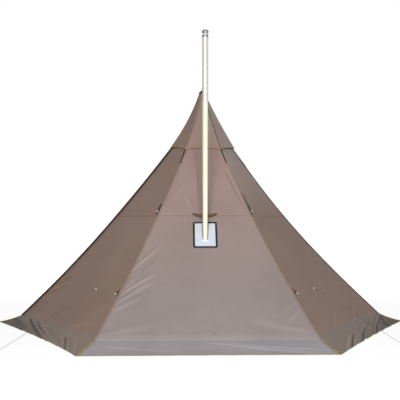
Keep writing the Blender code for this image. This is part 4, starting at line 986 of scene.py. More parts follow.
def braid(tree):
    """Braided polyester cord: matt, with strands that wind round it and catch the light."""
    cord_map = add(tree, "TexCoord", out="UV")
    turned = add(tree, "Mapping", {"Vector": cord_map, "Rotation": (0, 0, math.radians(35))})
    # Strands of 0.5 mm drawn 3 mm apart
    strands = weave(tree, turned, 0.003)
    tone = add(tree, "MapRange", {"Value": strands, "From Min": 0.3, "From Max": 1.7, "To Min": 0.78,
                                  "To Max": 1.12})
    colour = add(tree, "HueSaturation", {"Color": linear(colours().cord), "Value": tone})
    normal = add(tree, "Bump", {"Height": strands, "Strength": 0.6, "Distance": 0.0003})
    return {"Base Color": colour, "Roughness": 0.7, "Sheen Weight": 0.1, "Normal": normal}


def canopy_cloth(sewn=False):
    return finish("folded_canvas_seam" if sewn else "proofed_cotton_canvas", canvas, sewn)


def ridge_tape():
    """Grosgrain: dull, close-ribbed and nearly black, with paler stitches along both edges."""
    return finish("grosgrain_tape", ribbed, colours().tape, 0.85, 0.006, (0.012, "#574840"))


def webbing():
    """Nylon webbing: dark, coarse-ribbed, with a faint shine on its threads."""
    return finish("nylon_webbing", ribbed, "#33291F", 0.8, 0.003, (0.005, "#4A3D33"))


def piping(hem=False):
    """Bias-cut piping over a cord: a soft ochre line, a little greener where it lies in the grass."""
    look = colours()
    if hem:
        return finish("skirt_piping", ribbed, look.hem_piping, 0.8, 0.004)
    return finish("hood_piping", ribbed, look.piping, 0.8, 0.004)


def welt_cover():
    """Dyed cotton over a cord: nearly black and without shine, dark enough to serve as painted shade on the
    welts and corner tapes.
    """
    return finish("welt_cord", ribbed, "#1C1512", 0.85, 0.004)


def cover_cloth():
    """The cover's own canvas, seen from its uncoated side: darker and duller than the walls, partly as
    painted shade of the roll's underside.
    """
    return finish("cover_canvas", ribbed, "#6A5446", 0.85, 0.012)


# Operators


class TentOperator:
    """What the tent's operators share."""
    bl_options = {"REGISTER", "UNDO"}


def bend_with_leaf(thing, side):
    """Bakes a piece of the rear wall into place. It works out the line of the seam that the leaf hangs on and
    the way in from it, but does not bend the piece.
    """
    number, way = (3, 1) if side == "left" else (2, -1)
    radial, _ = wall_axes(number + 0.5)
    low, high = (radial * radius + np.array((0, 0, height)) for radius, height in LOWER)
    _, _, face = face_axes(LOWER, REAR)
    inward = unit(np.cross(high - low, face))
    inward = inward * np.sign(inward[0] * way)
    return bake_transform(thing)


def wall_sheet(name, wall, band, across, up, node, keep=None, leaf=None):
    """A wall, or a leaf of the door, on a grid of shares across and up it. keep is a mask of the quads that
    stay, and leaf is the side of the door that it belongs to; a leaf is left without a body and does not
    swing."""
    points = wall_surface(wall, band, across, up)
    fold_shading = wall_fold_shading(wall, band, across, up)
    sheet = surface(name, points, canopy_cloth(), metres(points), keep=keep, fold_shading=fold_shading)
    if leaf:
        bend_with_leaf(sheet, leaf)
    give_wall(sheet, sizes().cloth_thickness)
    dressed(sheet, "canopy_cloth", node, body=None if leaf else "tent")


def ring_sheet(name, points, uv, material, slot, node, thickness, fold_shading=None):
    """A ring of cloth, closed round the tent or round the flue."""
    sheet = surface(name, points, material, uv, (False, True), fold_shading=fold_shading)
    give_wall(sheet, thickness)
    dressed(sheet, slot, node)


def make_seam(name, column, number, width, lift, material, slot="webbing", body="tent"):
    """A flat tape over a ridge: its section lies on the faces of both walls beside the seam."""
    along = heading(column)
    left, right = (unit(way - (along @ way)[:, None] * along)
                   for way in (-wall_axes(number)[1], wall_axes(number + 1)[1]))
    radial, _ = wall_axes(number + 0.5)
    normal = unit(radial - (along @ radial)[:, None] * along)
    half = width / 2
    edge, under = -0.0006, -0.0012
    section = np.array([(-half, edge), (-half, lift * 0.7), (-half * 0.6, lift), (0, lift * 1.15),
                        (half * 0.6, lift), (half, lift * 0.7), (half, edge), (half * 0.3, under),
                        (-half * 0.3, under)])
    return strip(name, column, section, right, normal, material, left=left, slot=slot, body=body)


class HOTTENT_OT_upper_walls(TentOperator, bpy.types.Operator):
    """The six upper walls, from the belt to the neck"""
    bl_idname = "hot_tent.upper_walls"
    bl_label = "Upper walls"

    def execute(self, context):
        for wall, name in enumerate(WALLS):
            columns, rows = (101, 121) if wall in NEAR_WALLS else (61, 71)
            across, up = np.linspace(-1, 1, columns)[None, :], np.linspace(0, 1, rows)[:, None]
            wall_sheet(f"cloth_upper_{name}", wall, UPPER, across, up, f"upper_{name}")
        return {"FINISHED"}


class HOTTENT_OT_lower_walls(TentOperator, bpy.types.Operator):
    """The five lower walls without the door, the front one with the stove jack's opening"""
    bl_idname = "hot_tent.lower_walls"
    bl_label = "Lower walls"

    def execute(self, context):
        for wall, name in enumerate(WALLS):
            if wall == REAR:
                continue
            if wall == FRONT:
                across, up, keep = self.front_grid()
            else:
                columns, rows = (181, 161) if wall in NEAR_WALLS else (81, 81)
                across, up = np.linspace(-1, 1, columns)[None, :], np.linspace(0, 1, rows)[:, None]
                keep = None
            wall_sheet(f"cloth_lower_{name}", wall, LOWER, across, up, f"lower_{name}",
                       keep)
        return {"FINISHED"}

    def front_grid(self):
        """The front wall's shares across and up, with rows and columns on the edges of the jack's opening,
        and the mask of the quads round it."""
        low_rows, jack_rows, high_rows = 110, 32, 10
        side_columns, jack_columns = 75, 24
        length, _, _ = face_axes(LOWER, FRONT)
        up = np.concatenate([np.linspace(0, JACK_LOW, low_rows + 1),
                             np.linspace(JACK_LOW, JACK_HIGH, jack_rows + 1)[1:],
                             np.linspace(JACK_HIGH, length, high_rows + 1)[1:]])[:, None] / length
        half = SIDE_SHARE * seam_radius(LOWER, up)
        right = JACK_HALF_WIDTH + (half - JACK_HALF_WIDTH) * np.linspace(0, 1, side_columns + 1)[None, :]
        inner = np.linspace(-JACK_HALF_WIDTH, JACK_HALF_WIDTH, jack_columns + 1)[None, 1:-1]
        inner = np.broadcast_to(inner, (len(up), jack_columns - 1))
        across = np.hstack([-right[:, ::-1], inner, right]) / half
        keep = np.ones((len(up) - 1, across.shape[1] - 1), bool)
        keep[low_rows:low_rows + jack_rows, side_columns:side_columns + jack_columns] = False
        return across, up, keep


class HOTTENT_OT_skirt(TentOperator, bpy.types.Operator):
    """The snow skirt round the foot of the walls"""
    bl_idname = "hot_tent.skirt"
    bl_label = "Snow skirt"

    def execute(self, context):
        turn = skirt_turn()
        points, fold_shading = skirt_surface(turn[None, :], np.linspace(0, 1, SKIRT_ROWS)[:, None])
        # Its upper edge laps the walls by 18 mm, and passes under their face
        rise, proud = np.array(LAP_SHARES)[:, None], np.array(LAP_PROUD)[:, None, None]
        lap = [wall_surface(wall, LOWER, 2 * (turn[np.floor(turn) == wall] - wall)[None, :] - 1, rise)
               + face_axes(LOWER, wall)[2] * proud for wall in range(WALL_COUNT)]
        points = np.vstack([points[::-1], np.hstack(lap)])
        fold_shading = np.vstack([fold_shading[::-1], np.zeros((len(rise), len(turn)))])
        around = np.append(turn, WALL_COUNT) * SKIRT_MAP_WIDTH
        uv = grid_map(around, lengths_along(points[:, SKIRT_MAP_COLUMN]))
        ring_sheet("cloth_skirt", points, uv, canopy_cloth(), "canopy_cloth", "snow_skirt",
                   sizes().cloth_thickness, fold_shading=fold_shading)
        return {"FINISHED"}


class HOTTENT_OT_hood(TentOperator, bpy.types.Operator):
    """The hood over the vent, its piped hem, its seams, and the straps that hold its corners down"""
    bl_idname = "hot_tent.hood"
    bl_label = "Vent hood"

    def execute(self, context):
        turn = np.arange(WALL_COUNT * HOOD_COLUMNS) / HOOD_COLUMNS
        up = np.linspace(0, 1, 81)
        points = hood_surface(turn[None, :], up[:, None])
        uv = grid_map(np.append(turn, WALL_COUNT) * HOOD_HEM[0], up * HOOD_MAP_HEIGHT)
        ring_sheet("cloth_hood", points, uv, canopy_cloth(), "canopy_cloth", "hood",
                   sizes().cloth_thickness)
        self.hem(points)
        for number in range(WALL_COUNT):
            column = hood_surface(number + RIGHT_SEAM, np.linspace(0.005, 0.985, 50))
            make_seam(f"seam_hood_{number}", column, number, HOOD_SEAM_WIDTH, FELLED_LIFT,
                      canopy_cloth(True) if number else ridge_tape(), "canopy_cloth")
        for number in range(WALL_COUNT):
            self.strap(number)
        return {"FINISHED"}

    def hem(self, points):
        """The piping round the hem: an oval section, wider up the cloth than it is thick."""
        rim, up = points[0], unit(points[2] - points[0])
        half = sizes().piping_width / 2
        strip("piping_hood", rim + up * half * 0.7, oval(half * 1.2, 0.0042), up,
              unit(np.cross(heading(rim, closed=True), up)), piping(), closed=True)

    def strap(self, number):
        """A strap from a corner of the hood to the seam below it, with a slight sag and a sewn tail."""
        radial, side = wall_axes(number + 0.5)
        share = (STRAP_FOOT - BELT[1]) / (NECK[1] - BELT[1])
        head = hood_surface(number + RIGHT_SEAM, 0.012) - radial * 0.004
        foot = radial * (seam_radius(UPPER, share) + 0.0016) + np.array((0, 0, STRAP_FOOT))
        t = np.linspace(0, 1, 26)
        path = head + (foot - head) * t[:, None]
        path[:, 2] -= STRAP_SAG * 4 * t * (1 - t)
        path = np.vstack([path, foot + unit(foot - head) * STRAP_TAIL * t[1:9, None]])
        normal = unit(np.cross(side, heading(path)))
        normal = normal * np.sign(normal @ radial)[:, None]
        strip(f"strap_hood_{number}", path, flat_section(0.008, 0.0009), side, normal, webbing())


class HOTTENT_OT_seams(TentOperator, bpy.types.Operator):
    """The seams between the walls, the belt seam, and the piped hem and corners of the skirt"""
    bl_idname = "hot_tent.seams"
    bl_label = "Seams and piping"

    def execute(self, context):
        for number in range(WALL_COUNT):
            self.seam("lower", LOWER, number)
            self.seam("upper", UPPER, number)
        self.belt()
        self.corner_tapes()
        self.skirt_trim()
        return {"FINISHED"}

    def seam(self, part, band, number):
        """A seam between two walls: felled cloth at the front and dark tape elsewhere, with a welt on the
        left and right seams. The door's seams are baked in place and left without a body, and do not bend."""
        column = wall_surface(number, band, 1.0, np.linspace(0.0, 1.0, 90), folds=False)
        width, lift, material = sizes().ridge_width, TAPE_LIFT, ridge_tape()
        if number in FRONT_SEAMS:
            width, lift, material = sizes().seam_width, FELLED_LIFT, canopy_cloth(True)
        leaf = DOOR_SEAMS.get(number) if band is LOWER else None
        tape = make_seam(f"seam_{part}_{number}", column, number, width, lift, material,
                         body=None if leaf else "tent")
        if leaf:
            bend_with_leaf(tape, leaf)
        # The welt's near-black cord is partly painted shade for the seam's shaded edge
        if number in WELTS:
            radius = WELTS[number]
            line = column + 0.4 * radius * wall_axes(number + 0.5)[0]
            dressed(tube(f"welt_{part}_{number}", line, radius, welt_cover(), 10), "webbing")

    def belt(self):
        """The belt seam: a strip bent over the edge between the lower and upper walls. At the rear it covers
        the upper wall alone, and leaves the door free."""
        wide, lift, inner = 0.007, 0.0011, -0.0006
        for wall, name in enumerate(WALLS):
            line = wall_surface(wall, UPPER, np.linspace(-1, 1, 80), 0.0, folds=False)
            _, up_high, out_high = face_axes(UPPER, wall)
            _, up_low, out_low = face_axes(LOWER, wall)
            below = 0.0 if wall == REAR else wide
            section = np.array([(-wide, inner), (-wide, lift), (0, lift * 1.2), (below, lift),
                                (below, inner)])
            strip(f"seam_belt_{name}", line, section, -up_low, unit(out_high + out_low), canopy_cloth(True),
                  left=up_high, slot="canopy_cloth")

    def corner_tapes(self):
        """Dark tapes on the side walls beside the front seams, from the belt up, bowed away from them; their
        dark is partly painted shade of the puckered cloth there.
        """
        for number, wall, way, top in CORNER_TAPES:
            share = np.linspace(0.015, top, 24)
            inset = TAPE_INSET + TAPE_BOW * np.sin(np.pi * share / top)
            beside = way * (1 - inset / (SIDE_SHARE * seam_radius(UPPER, share)))
            path = wall_surface(wall, UPPER, beside, share, folds=False)
            _, _, face = face_axes(UPPER, wall)
            strip(f"tape_corner_{number}", path + face * 0.002, flat_section(0.009, 0.0012),
                  unit(np.cross(heading(path), face)), face, welt_cover())

    def skirt_trim(self):
        """The piping round the hem, and the piped seams down the skirt's corners."""
        turn = skirt_turn()
        rim, _ = skirt_surface(turn, 1.0)
        inner, _ = skirt_surface(turn, 0.96)
        inward = unit(inner - rim)
        half = sizes().piping_width / 2
        strip("piping_hem", rim + inward * half * 0.6 + np.array((0, 0, 0.0006)), oval(half, 0.0022), inward,
              unit(np.cross(heading(rim, closed=True), inward)), piping(True), closed=True)
        for number in range(WALL_COUNT):
            column, _ = skirt_surface(number + RIGHT_SEAM, np.linspace(0.0, 1.0, 40))
            make_seam(f"piping_skirt_{number}", column + np.array((0, 0, 0.0008)), number, 0.012, 0.0045,
                      piping(True))


class HOTTENT_OT_door(TentOperator, bpy.types.Operator):
    """The two door leaves in the rear wall, with the zip's tapes and its two rows of teeth"""
    bl_idname = "hot_tent.door"
    bl_label = "Door"

    def execute(self, context):
        length, _, _ = face_axes(LOWER, REAR)
        across = np.linspace(DOOR_EDGE_SHARE, 1, 91)
        up = np.linspace(0.0, 1 - DOOR_HEAD_GAP / length, 101)[:, None]
        # The left leaf is on the wall's right as seen from outside
        for side, way, shares in (("left", 1, across), ("right", -1, -across[::-1])):
            wall_sheet(f"cloth_door_{side}", REAR, LOWER, shares[None, :], up, f"door_leaf_{side}",
                       leaf=side)
            self.zip_side(side, way)
        return {"FINISHED"}

    def zip_side(self, side, way):
        """Half of the zip: a woven tape along the leaf's edge, and a row of teeth on it. One tooth is a
        block, and the other half's teeth lie half a pitch further up."""
        length, slope, face = face_axes(LOWER, REAR)
        out, across = wall_axes(REAR)
        foot = out * OUT_SHARE * FOOT[0] + np.array((0, 0, FOOT[1]))
        run = np.linspace(ZIP_FOOT, length - ZIP_HEAD, 120)[:, None]
        path = foot + run * slope + across * way * ZIP_TAPE_MIDDLE + face * 0.0008
        strip(f"zip_tape_{side}", path, flat_section(ZIP_TAPE_HALF, 0.0005), across, face, webbing(),
              f"zip_chain_{side}", slot="zip_coil", body=f"door_{side}")
        pitch = sizes().zip_pitch
        teeth = int((length - TEETH_SPARE) / pitch)
        base = TEETH_FOOT + pitch * np.arange(teeth) + (pitch / 2 if way < 0 else 0)
        # A tooth's eight corners: across, up and out of the wall
        block = np.array([(x, y, z) for z in TOOTH_OUT for y in (0, pitch * TOOTH_SHARE)
                          for x in TOOTH_ACROSS])
        corners = foot + (block[None, :, :1] * across * way
                          + (block[None, :, 1:2] + base[:, None, None]) * slope + block[None, :, 2:] * face)
        faces = np.array([(0, 2, 3, 1), (4, 5, 7, 6), (0, 1, 5, 4), (2, 6, 7, 3), (0, 4, 6, 2), (1, 3, 7, 5)])
        faces = (faces[None] + 8 * np.arange(teeth)[:, None, None]).reshape(-1, 4)
        mesh = bpy.data.meshes.new(f"zip_teeth_{side}")
        mesh.from_pydata(corners.reshape(-1, 3), [], faces.tolist())
        row = linked(f"zip_teeth_{side}", mesh, finish("zip_coil_nylon", moulded, "#2A2523", 0.45))
        dressed(face_out(row), "zip_coil", body=f"door_{side}")


class HOTTENT_OT_apex(TentOperator, bpy.types.Operator):
    """The vent net, the cone that the pole stands in, the hood's cap and its hanging loop"""
    bl_idname = "hot_tent.apex"
    bl_label = "Net and apex"

    def execute(self, context):
        self.narrowing("net_vent", "vent_net", (NECK[0], NECK[1] + 0.001), NET_TOP, 0.012,
                       finish("knitted_net", netting), "net")
        self.narrowing("cloth_cone", "apex_cone", (NET_TOP[0] + 0.002, NET_TOP[1] + 0.001), CONE_TOP, 0.001,
                       canopy_cloth(), "canopy_cloth")
        self.cap()
        self.loop()
        return {"FINISHED"}

    def narrowing(self, name, node, foot, top, sag, material, slot):
        """Six flat faces between seams that hang a little inside the straight line from foot to top."""
        turn = np.arange(WALL_COUNT * 16) / 16
        up = np.linspace(0, 1, 31)
        turns, rise = np.broadcast_arrays(turn[None, :], up[:, None])
        wall, across_share = turn_walls(turns)
        radius = seam_radius((foot, top), rise, sag)
        points = placed(wall, OUT_SHARE * radius, across_share * SIDE_SHARE * radius,
                        foot[1] + (top[1] - foot[1]) * rise)
        slope = math.hypot(foot[0] - top[0], top[1] - foot[1])
        uv = grid_map(np.append(turn, WALL_COUNT) * (foot[0] + top[0]) / 2, up * slope)
        ring_sheet(name, points, uv, material, slot, node, 0.0006)

    def cap(self):
        """The cap: a turned profile with stitched rings, gathered into small flutes towards its brim."""
        (_, _, low), (_, _, top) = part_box("hood_cap")
        brim = HOOD_TIP[1] + 0.0003
        # Its dome as radius and depth below the top, and its underside as radius and height
        dome = ((0.0, 0.0), (0.006, 0.0002), (0.011, 0.0012), (0.0145, 0.004), (0.019, 0.009), (0.026, 0.015),
                (0.033, 0.0205), (0.0375, 0.0245), (0.0395, 0.027), (0.0400, 0.0290))
        under = ((0.0392, brim + 0.0008), (0.0360, brim), (0.024, brim), (0.017, brim - 0.001),
                 (0.0165, low + 0.001), (0.0, low + 0.0005))
        profile = np.array([*((out, top - down) for out, down in dome), *under])
        radius, height = profile[:, 0], profile[:, 1]
        angle = 2 * np.pi * np.arange(48) / 48
        flute = 1 - 0.025 * (0.5 + 0.5 * np.cos(12 * angle))[None, :] * (radius > 0.015)[:, None]
        wide = np.maximum(radius, 1e-5)[:, None] * flute
        height = np.broadcast_to(height[:, None], wide.shape)
        points = np.stack([wide * np.cos(angle), wide * np.sin(angle), height], axis=-1)
        uv = grid_map(np.arange(49) * 0.005, lengths_along(profile))
        cap = surface("cap_hood", points[::-1], webbing(), uv, (False, True), caps=True)
        dressed(face_out(cap), "webbing", "hood_cap")

    def loop(self):
        """The hanging loop: a flat tape round a drop-shaped line, pinched towards its foot."""
        (_, _, low), (_, _, high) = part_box("top_loop")
        t = np.linspace(0, 2 * np.pi, 61)[:-1]
        middle, half = (low + high) / 2, (high - low) / 2 - 0.0012
        wide = LOOP_HALF_WIDTH * (1 - LOOP_PINCH + LOOP_PINCH * np.cos(t / 2) ** 2)
        path = np.stack([wide * np.sin(t), np.zeros_like(t), middle + half * np.cos(t)], axis=1)
        side = np.array((0, 1.0, 0))
        normal = unit(np.cross(side, heading(path, closed=True)))
        strip("loop_top", path, flat_section(0.005, 0.0011), side, normal, webbing(), "top_loop", closed=True)


class HOTTENT_OT_tabs(TentOperator, bpy.types.Operator):
    """The webbing tabs that hold the rings on the front seams and the side walls"""
    bl_idname = "hot_tent.tabs"
    bl_label = "Webbing tabs"

    def execute(self, context):
        for kind in TAB_KINDS:
            for side in SIDES:
                self.tab(kind, side)
        return {"FINISHED"}

    def tab(self, kind, side):
        """A tab of its node's own shape, its tail drawn in towards its ring and its edges rounded."""
        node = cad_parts[f"{kind}_tab_{side}"]
        mesh = node.data.copy()
        shape = bmesh.new()
        shape.from_mesh(mesh)
        bmesh.ops.remove_doubles(shape, verts=shape.verts, dist=1e-5)
        bmesh.ops.dissolve_limit(shape, angle_limit=math.radians(2), verts=shape.verts, edges=shape.edges)
        shape.to_mesh(mesh)
        shape.free()
        ring_middle = np.mean(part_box(f"{kind}_ring_{side}"), axis=0)
        corners = np.zeros(len(mesh.vertices) * 3)
        mesh.vertices.foreach_get("co", corners)
        reach = corners.reshape(-1, 3) - ring_middle
        tail = unit(reach[np.argmax(np.linalg.norm(reach, axis=1))])
        far = reach @ tail
        nearer = np.minimum(far, TAB_BODY + (far - TAB_BODY) * TAB_TAIL_SHARES[kind])
        corners = ring_middle + reach + (nearer - far)[:, None] * tail
        mesh.vertices.foreach_set("co", corners.ravel())
        mesh.materials.clear()
        tab = linked(f"webbing_{kind}_{side}", mesh, canopy_cloth(True) if kind == "tie_out" else webbing())
        edge = tab.modifiers.new("rounded edge", "BEVEL")
        edge.width = TAB_ROUNDING
        edge.segments = 2
        dressed(tab, "webbing", node.name)


class HOTTENT_OT_jack(TentOperator, bpy.types.Operator):
    """The stove jack: its heat-proof patch round the flue, its binding and the rolled cover above it"""
    bl_idname = "hot_tent.jack"
    bl_label = "Stove jack"

    def execute(self, context):
        self.patch()
        self.binding()
        self.cover()
        return {"FINISHED"}

    def patch(self):
        """The patch: rings of points that pass from the flue's slanting outline to the square frame, with a
        short sleeve that stands out round the flue and a slight pucker beside it."""
        crossing = flue_crossing()
        outline = rounded_frame(JACK_HALF_WIDTH + JACK_EDGE * 0.6, JACK_HALF_HEIGHT + JACK_EDGE * 0.6, 160)
        outline = outline + np.array((0, JACK_MIDDLE - crossing))
        angle = np.arctan2(outline[:, 1], outline[:, 0])
        hole = np.stack([JACK_HOLE * np.cos(angle), JACK_HOLE / JACK_SLANT * np.sin(angle)], axis=1)
        t = np.linspace(0, 1, 30)[:, None]
        flat = hole[None] * (1 - t[..., None]) + outline[None] * t[..., None]
        sleeve = SLEEVE_HEIGHT * np.exp(-(t / SLEEVE_REACH) ** 2)
        pucker = PUCKER_HEIGHT * np.sin(angle * PUCKER_WAVES)[None] * np.exp(-((t - 0.2) / 0.18) ** 2)
        points = jack_surface(flat[..., 0], flat[..., 1] + crossing, 0.0006 + sleeve + pucker)
        ring_sheet("jack_cloth", points[::-1], ring(flat)[::-1], finish("coated_glass_cloth", glass_cloth),
                   "jack_cloth", "jack_patch", 0.0012)

    def binding(self):
        """The binding: a flat tape carried round the opening's edge."""
        line = rounded_frame(JACK_HALF_WIDTH, JACK_HALF_HEIGHT, 320)
        path = jack_surface(line[:, 0], line[:, 1] + JACK_MIDDLE, np.full(len(line), 0.0018))
        _, _, face = face_axes(LOWER, FRONT)
        look = finish("cotton_binding", ribbed, colours().jack_binding, 0.8, 0.004, (0.007, "#2E3440"))
        right = unit(np.cross(heading(path, closed=True), face))
        strip("jack_tape", path, flat_section(JACK_EDGE, 0.0011), right, face, look, "jack_binding",
              closed=True, slot="jack_binding")

    def cover(self):
        """The cover rolled up over the belt seam: a spiral section on a line that sags between its two ends,
        thick in the middle and thin at both ends, with its bound edge along the top and two ties."""
        low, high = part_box("jack_cover")
        half = (high[0] - low[0]) / 2
        t = np.linspace(-1, 1, 90)
        x = t * half * 0.985
        radius = COVER_THIN + COVER_SWELL * (1 - t ** 2) ** 0.8
        height = COVER_TOP - radius - COVER_SAG * (1 - t ** 2)
        depth = OUT_SHARE * (BELT[0] + np.maximum(BELT[1] - height, 0) * LOWER_SPREAD) + radius * 1.2 + 0.001
        turns = np.linspace(0.5, COVER_TURNS * 2 * np.pi, 70)[:, None]
        lump = 1 + 0.05 * np.sin(t * 19) * np.cos(turns + 1.0)
        spiral = radius * np.linspace(1.0, 0.55, 70)[:, None] * lump
        points = np.stack([np.broadcast_to(x, spiral.shape), spiral * np.cos(turns) - depth,
                           spiral * np.sin(turns) + height], axis=-1)
        roll = surface("cloth_cover", points[::-1], cover_cloth(), grid_map(x, turns[:, 0] * 0.016)[::-1])
        give_wall(roll, 0.0010, 0)
        dressed(roll, "canopy_cloth", "jack_cover")
        wide = float(lengths_along(points[:, 45])[-1])
        edge = np.stack([x, -depth - radius * 0.25, height + radius * 0.98], axis=1)
        out = np.array((0, -0.55, 0.83))
        right = unit(np.cross(heading(edge), out))
        strip("cover_binding", edge, flat_section(0.0030, 0.0010), right, out, piping())
        for side, way in (("left", -1), ("right", 1)):
            angle = np.linspace(0, 2 * np.pi, 40, endpoint=False)
            at = way * (half - COVER_TIE_INSET)
            wide, back, level = (float(np.interp(at, x, row)) for row in (radius + 0.0012, depth, height))
            path = np.stack([np.full(40, at), wide * np.cos(angle) - back, wide * np.sin(angle) + level],
                            axis=1)
            right = np.array((1.0, 0, 0))
            strip(f"cover_tie_{side}", path, flat_section(0.004, 0.0008), right,
                  unit(np.cross(right, heading(path, closed=True))), cover_cloth(), closed=True)


class HOTTENT_OT_guy_lines(TentOperator, bpy.types.Operator):
    """The two guy lines, with the knots at their rings and pegs"""
    bl_idname = "hot_tent.guy_lines"
    bl_label = "Guy lines"

    def execute(self, context):
        for side, (start, end) in GUY_RUNS.items():
            start, end = np.array(start), np.array(end)
            path = start + (end - start) * np.linspace(0, 1, GUY_POINTS)[:, None]
            line = tube(f"cord_guy_{side}", path, GUY_DIAMETER / 2, finish("braided_polyester", braid), 12)
            dressed(line, "cord", f"guy_line_{side}")
            way = unit(end - start)
            pieces = [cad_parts[f"guy_tensioner_{side}"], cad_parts[f"guy_peg_{side}"],
                      self.knot(f"knot_ring_{side}", start + way * 0.006, way),
                      self.knot(f"knot_peg_{side}", end - way * 0.003, way)]
        return {"FINISHED"}

    def knot(self, name, centre, way):
        """A knot: a trefoil-like curve wound close round the line."""
        side = unit(np.cross(way, np.array((0, 0, 1.0))))
        lift = np.cross(side, way)
        t = np.linspace(0, 2 * np.pi, 60, endpoint=False)[:, None]
        wide = KNOT_REACH + KNOT_LOBE * np.cos(3 * t)
        path = centre + wide * (np.cos(2 * t) * side + np.sin(2 * t) * lift) + KNOT_HALF * np.sin(3 * t) * way
        look = finish("braided_polyester", braid)
        made = tube(name, path, KNOT_CORD, look, 8, closed=True, turn_from=way + 0.01)
        return dressed(made, "cord")


class HOTTENT_OT_hard_finishes(TentOperator, bpy.types.Operator):
    """The finishes of the pole, the flue, the stove, the rings, the pegs and the zip's slider"""
    bl_idname = "hot_tent.hard_finishes"
    bl_label = "Metal and plastic"

    def execute(self, context):
        even, lengthwise, crosswise = (1.0, 1.0, 1.0), (1.0, 1.0, 0.02), (0.05, 1.0, 1.0)
        rings = [f"{kind}_ring_{side}" for kind in TAB_KINDS for side in SIDES]
        # Anodised tube: satin, drawn lengthwise. Zinc plate: an even, slightly milky gloss
        self.give("anodised_aluminium_tube", metal, ("#B9BBBE", 0.32, lengthwise),
                  "pole_lower", "pole_middle", "pole_upper")
        self.give("zinc_plated_steel", metal, ("#B4B4B2", 0.34), "stove_hinge_pin", "stove_latch",
                  "air_slide", "stove_leg_front", "stove_leg_rear", "guy_peg_left", "guy_peg_right")
        self.give("nickel_plated_zinc", metal, ("#A9A8A4", 0.3), "zip_slider")
        # Acetal is smooth and a little waxy, nylon duller
        self.give("acetal_white", moulded, ("#E3E1DC", 0.35), *rings)
        self.give("nylon_black", moulded, ("#232325", 0.48), "pole_foot", "pole_tip")
        self.give("nylon_brown", moulded, ("#6E5E52", 0.5), "guy_tensioner_left", "guy_tensioner_right")
        # Rolled stainless tube: nearly a mirror, straw-coloured where it has run hot
        # Its last colour darkens the flue's rims aslant to the view, a painted reflection
        self.give("polished_stainless_tube", metal,
                  ("#D2CFC2", 0.24, lengthwise, (colours().pipe, 2.40, 2.52), "#7A7768"),
                  "pipe_lower", "pipe_middle", "pipe_upper")
        # Its last colour darkens the arrestor's rims aslant to the view, a painted reflection
        self.give("sooted_stainless", metal, ("#85837F", 0.5, even, None, "#A4A4A2"), "spark_arrestor")
        # Stove sheet darkened by heat: grey-brown and satin, with patchy bluing over the fire
        self.give("heat_darkened_sheet", metal, (colours().stove, 0.46, crosswise, ("#5A4B42", 0.20, 0.55)),
                  "flue_damper", "stove_body", "stove_door")
        return {"FINISHED"}

    def give(self, name, build, values, *nodes):
        look = finish(name, build, *values)
        for node in nodes:
            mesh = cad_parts[node].data
            mesh.materials.clear()
            mesh.materials.append(look)


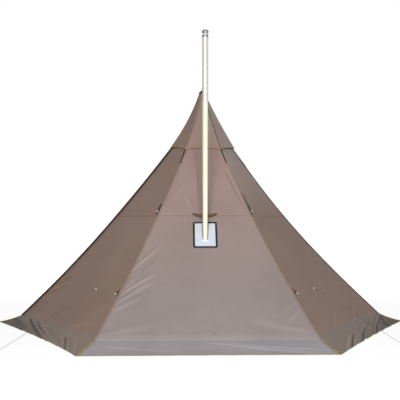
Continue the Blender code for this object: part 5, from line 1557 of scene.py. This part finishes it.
class HOTTENT_OT_stage(TentOperator, bpy.types.Operator):
    """The floor, the lamps, the world and the camera"""
    bl_idname = "hot_tent.stage"
    bl_label = "Studio"

    def execute(self, context):
        scene = context.scene
        scene.view_settings.view_transform = "Standard"
        row = np.array([(-FLOOR_REACH, -FLOOR_REACH, FLOOR_LEVEL), (FLOOR_REACH, -FLOOR_REACH, FLOOR_LEVEL)])
        corners = np.stack([row, row * (1, -1, 1)])
        surface("studio_floor", corners, self.paper())
        self.world(scene)
        for lamp in LAMPS:
            self.lamp(*lamp)
        self.camera(scene)
        return {"FINISHED"}

    def camera(self, scene):
        data = bpy.data.cameras.new("camera")
        camera = bpy.data.objects.new("camera", data)
        scene.collection.objects.link(camera)
        data.lens, data.sensor_width = CAMERA_LENS, CAMERA_SENSOR
        data.shift_x, data.shift_y = CAMERA_SHIFT
        camera.location = CAMERA_PLACE
        camera.rotation_euler = (math.pi / 2, 0, -math.radians(CAMERA_TURN))
        scene.camera = camera

    def paper(self):
        """Pale studio paper: shows white to the camera and in reflections, a little darker in the tent's
        shadow, and whiter with distance, so that it runs into the backdrop."""
        material = bpy.data.materials.new("studio_paper")
        material.use_nodes = True
        tree = material.node_tree
        tree.nodes.clear()
        lit = add(tree, "BsdfDiffuse", {"Color": linear("#E6E6E6")})
        dim = add(tree, "BsdfDiffuse", {"Color": linear("#9C9C9C")})
        away = add(tree, "VectorMath", {0: add(tree, "TexCoord", out="Object")}, "Value", operation="LENGTH")
        away = add(tree, "MapRange", {"Value": away, "From Min": 3.2, "From Max": 7.0, "To Min": 0.84})
        seen = add(tree, "AddShader", {0: dim, 1: add(tree, "Emission", {"Strength": away})})
        shown = add(tree, "MixShader", {0: self.seen_rays(tree), 1: lit, 2: seen})
        add(tree, "OutputMaterial", {"Surface": shown})
        return material

    def seen_rays(self, tree):
        """1 for rays from the camera, a mirror or glass, which see the backdrop, and 0 for the others."""
        rays = add(tree, "LightPath", out="Is Camera Ray")
        for other in ("Is Glossy Ray", "Is Transmission Ray"):
            rays = add(tree, "Math", {0: rays, 1: add(tree, "LightPath", out=other)}, operation="MAXIMUM")
        return rays

    def world(self, scene):
        """White where it is seen, and a faint warm light from all sides."""
        world = bpy.data.worlds.new("studio")
        scene.world = world
        world.use_nodes = True
        tree = world.node_tree
        tree.nodes.clear()
        soft = add(tree, "Background", {"Color": (1.0, 0.95, 0.90, 1), "Strength": 0.13})
        white = add(tree, "Background", {"Color": (1, 1, 1, 1), "Strength": 1.0})
        both = add(tree, "MixShader", {0: self.seen_rays(tree), 1: soft, 2: white})
        add(tree, "OutputWorld", {"Surface": both})

    def lamp(self, name, place, size, power, code):
        """A round lamp aimed at the point 1 m above the origin."""
        data = bpy.data.lights.new(name, "AREA")
        data.shape = "DISK"
        data.size = size
        data.energy = power
        data.color = linear(code)[:3]
        lamp = bpy.data.objects.new(name, data)
        bpy.context.scene.collection.objects.link(lamp)
        lamp.location = place
        lamp.rotation_euler = (Vector((0, 0, 1)) - Vector(place)).to_track_quat("-Z", "Y").to_euler()


OPERATORS = (
    HOTTENT_OT_stage, HOTTENT_OT_guy_lines, HOTTENT_OT_upper_walls, HOTTENT_OT_lower_walls, HOTTENT_OT_skirt,
    HOTTENT_OT_hood, HOTTENT_OT_seams, HOTTENT_OT_door, HOTTENT_OT_apex, HOTTENT_OT_tabs, HOTTENT_OT_jack,
    HOTTENT_OT_hard_finishes,
)


class HOTTENT_PT_panel(bpy.types.Panel):
    """Lists the tent's pieces, sizes and colours."""
    bl_idname = "HOTTENT_PT_panel"
    bl_label = "Hot tent"
    bl_space_type = "VIEW_3D"
    bl_region_type = "UI"
    bl_category = "Hot tent"

    def draw(self, context):
        column = self.layout.column()
        for operator in OPERATORS:
            column.operator(operator.bl_idname)
        for group in (context.scene.hot_tent_sizes, context.scene.hot_tent_colours):
            for name in group.bl_rna.properties.keys():
                if name not in ("rna_type", "name"):
                    column.prop(group, name)


CLASSES = (HotTentSizes, HotTentColours, *OPERATORS, HOTTENT_PT_panel)


def register():
    for item in CLASSES:
        bpy.utils.register_class(item)
    bpy.types.Scene.hot_tent_sizes = bpy.props.PointerProperty(type=HotTentSizes)
    bpy.types.Scene.hot_tent_colours = bpy.props.PointerProperty(type=HotTentColours)


def unregister():
    del bpy.types.Scene.hot_tent_colours
    del bpy.types.Scene.hot_tent_sizes
    for item in reversed(CLASSES):
        bpy.utils.unregister_class(item)


def main():
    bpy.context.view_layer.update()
    register()
    for operator in OPERATORS:
        group, name = operator.bl_idname.split(".")
        getattr(getattr(bpy.ops, group), name)()


if __name__ == "__main__":
    main()
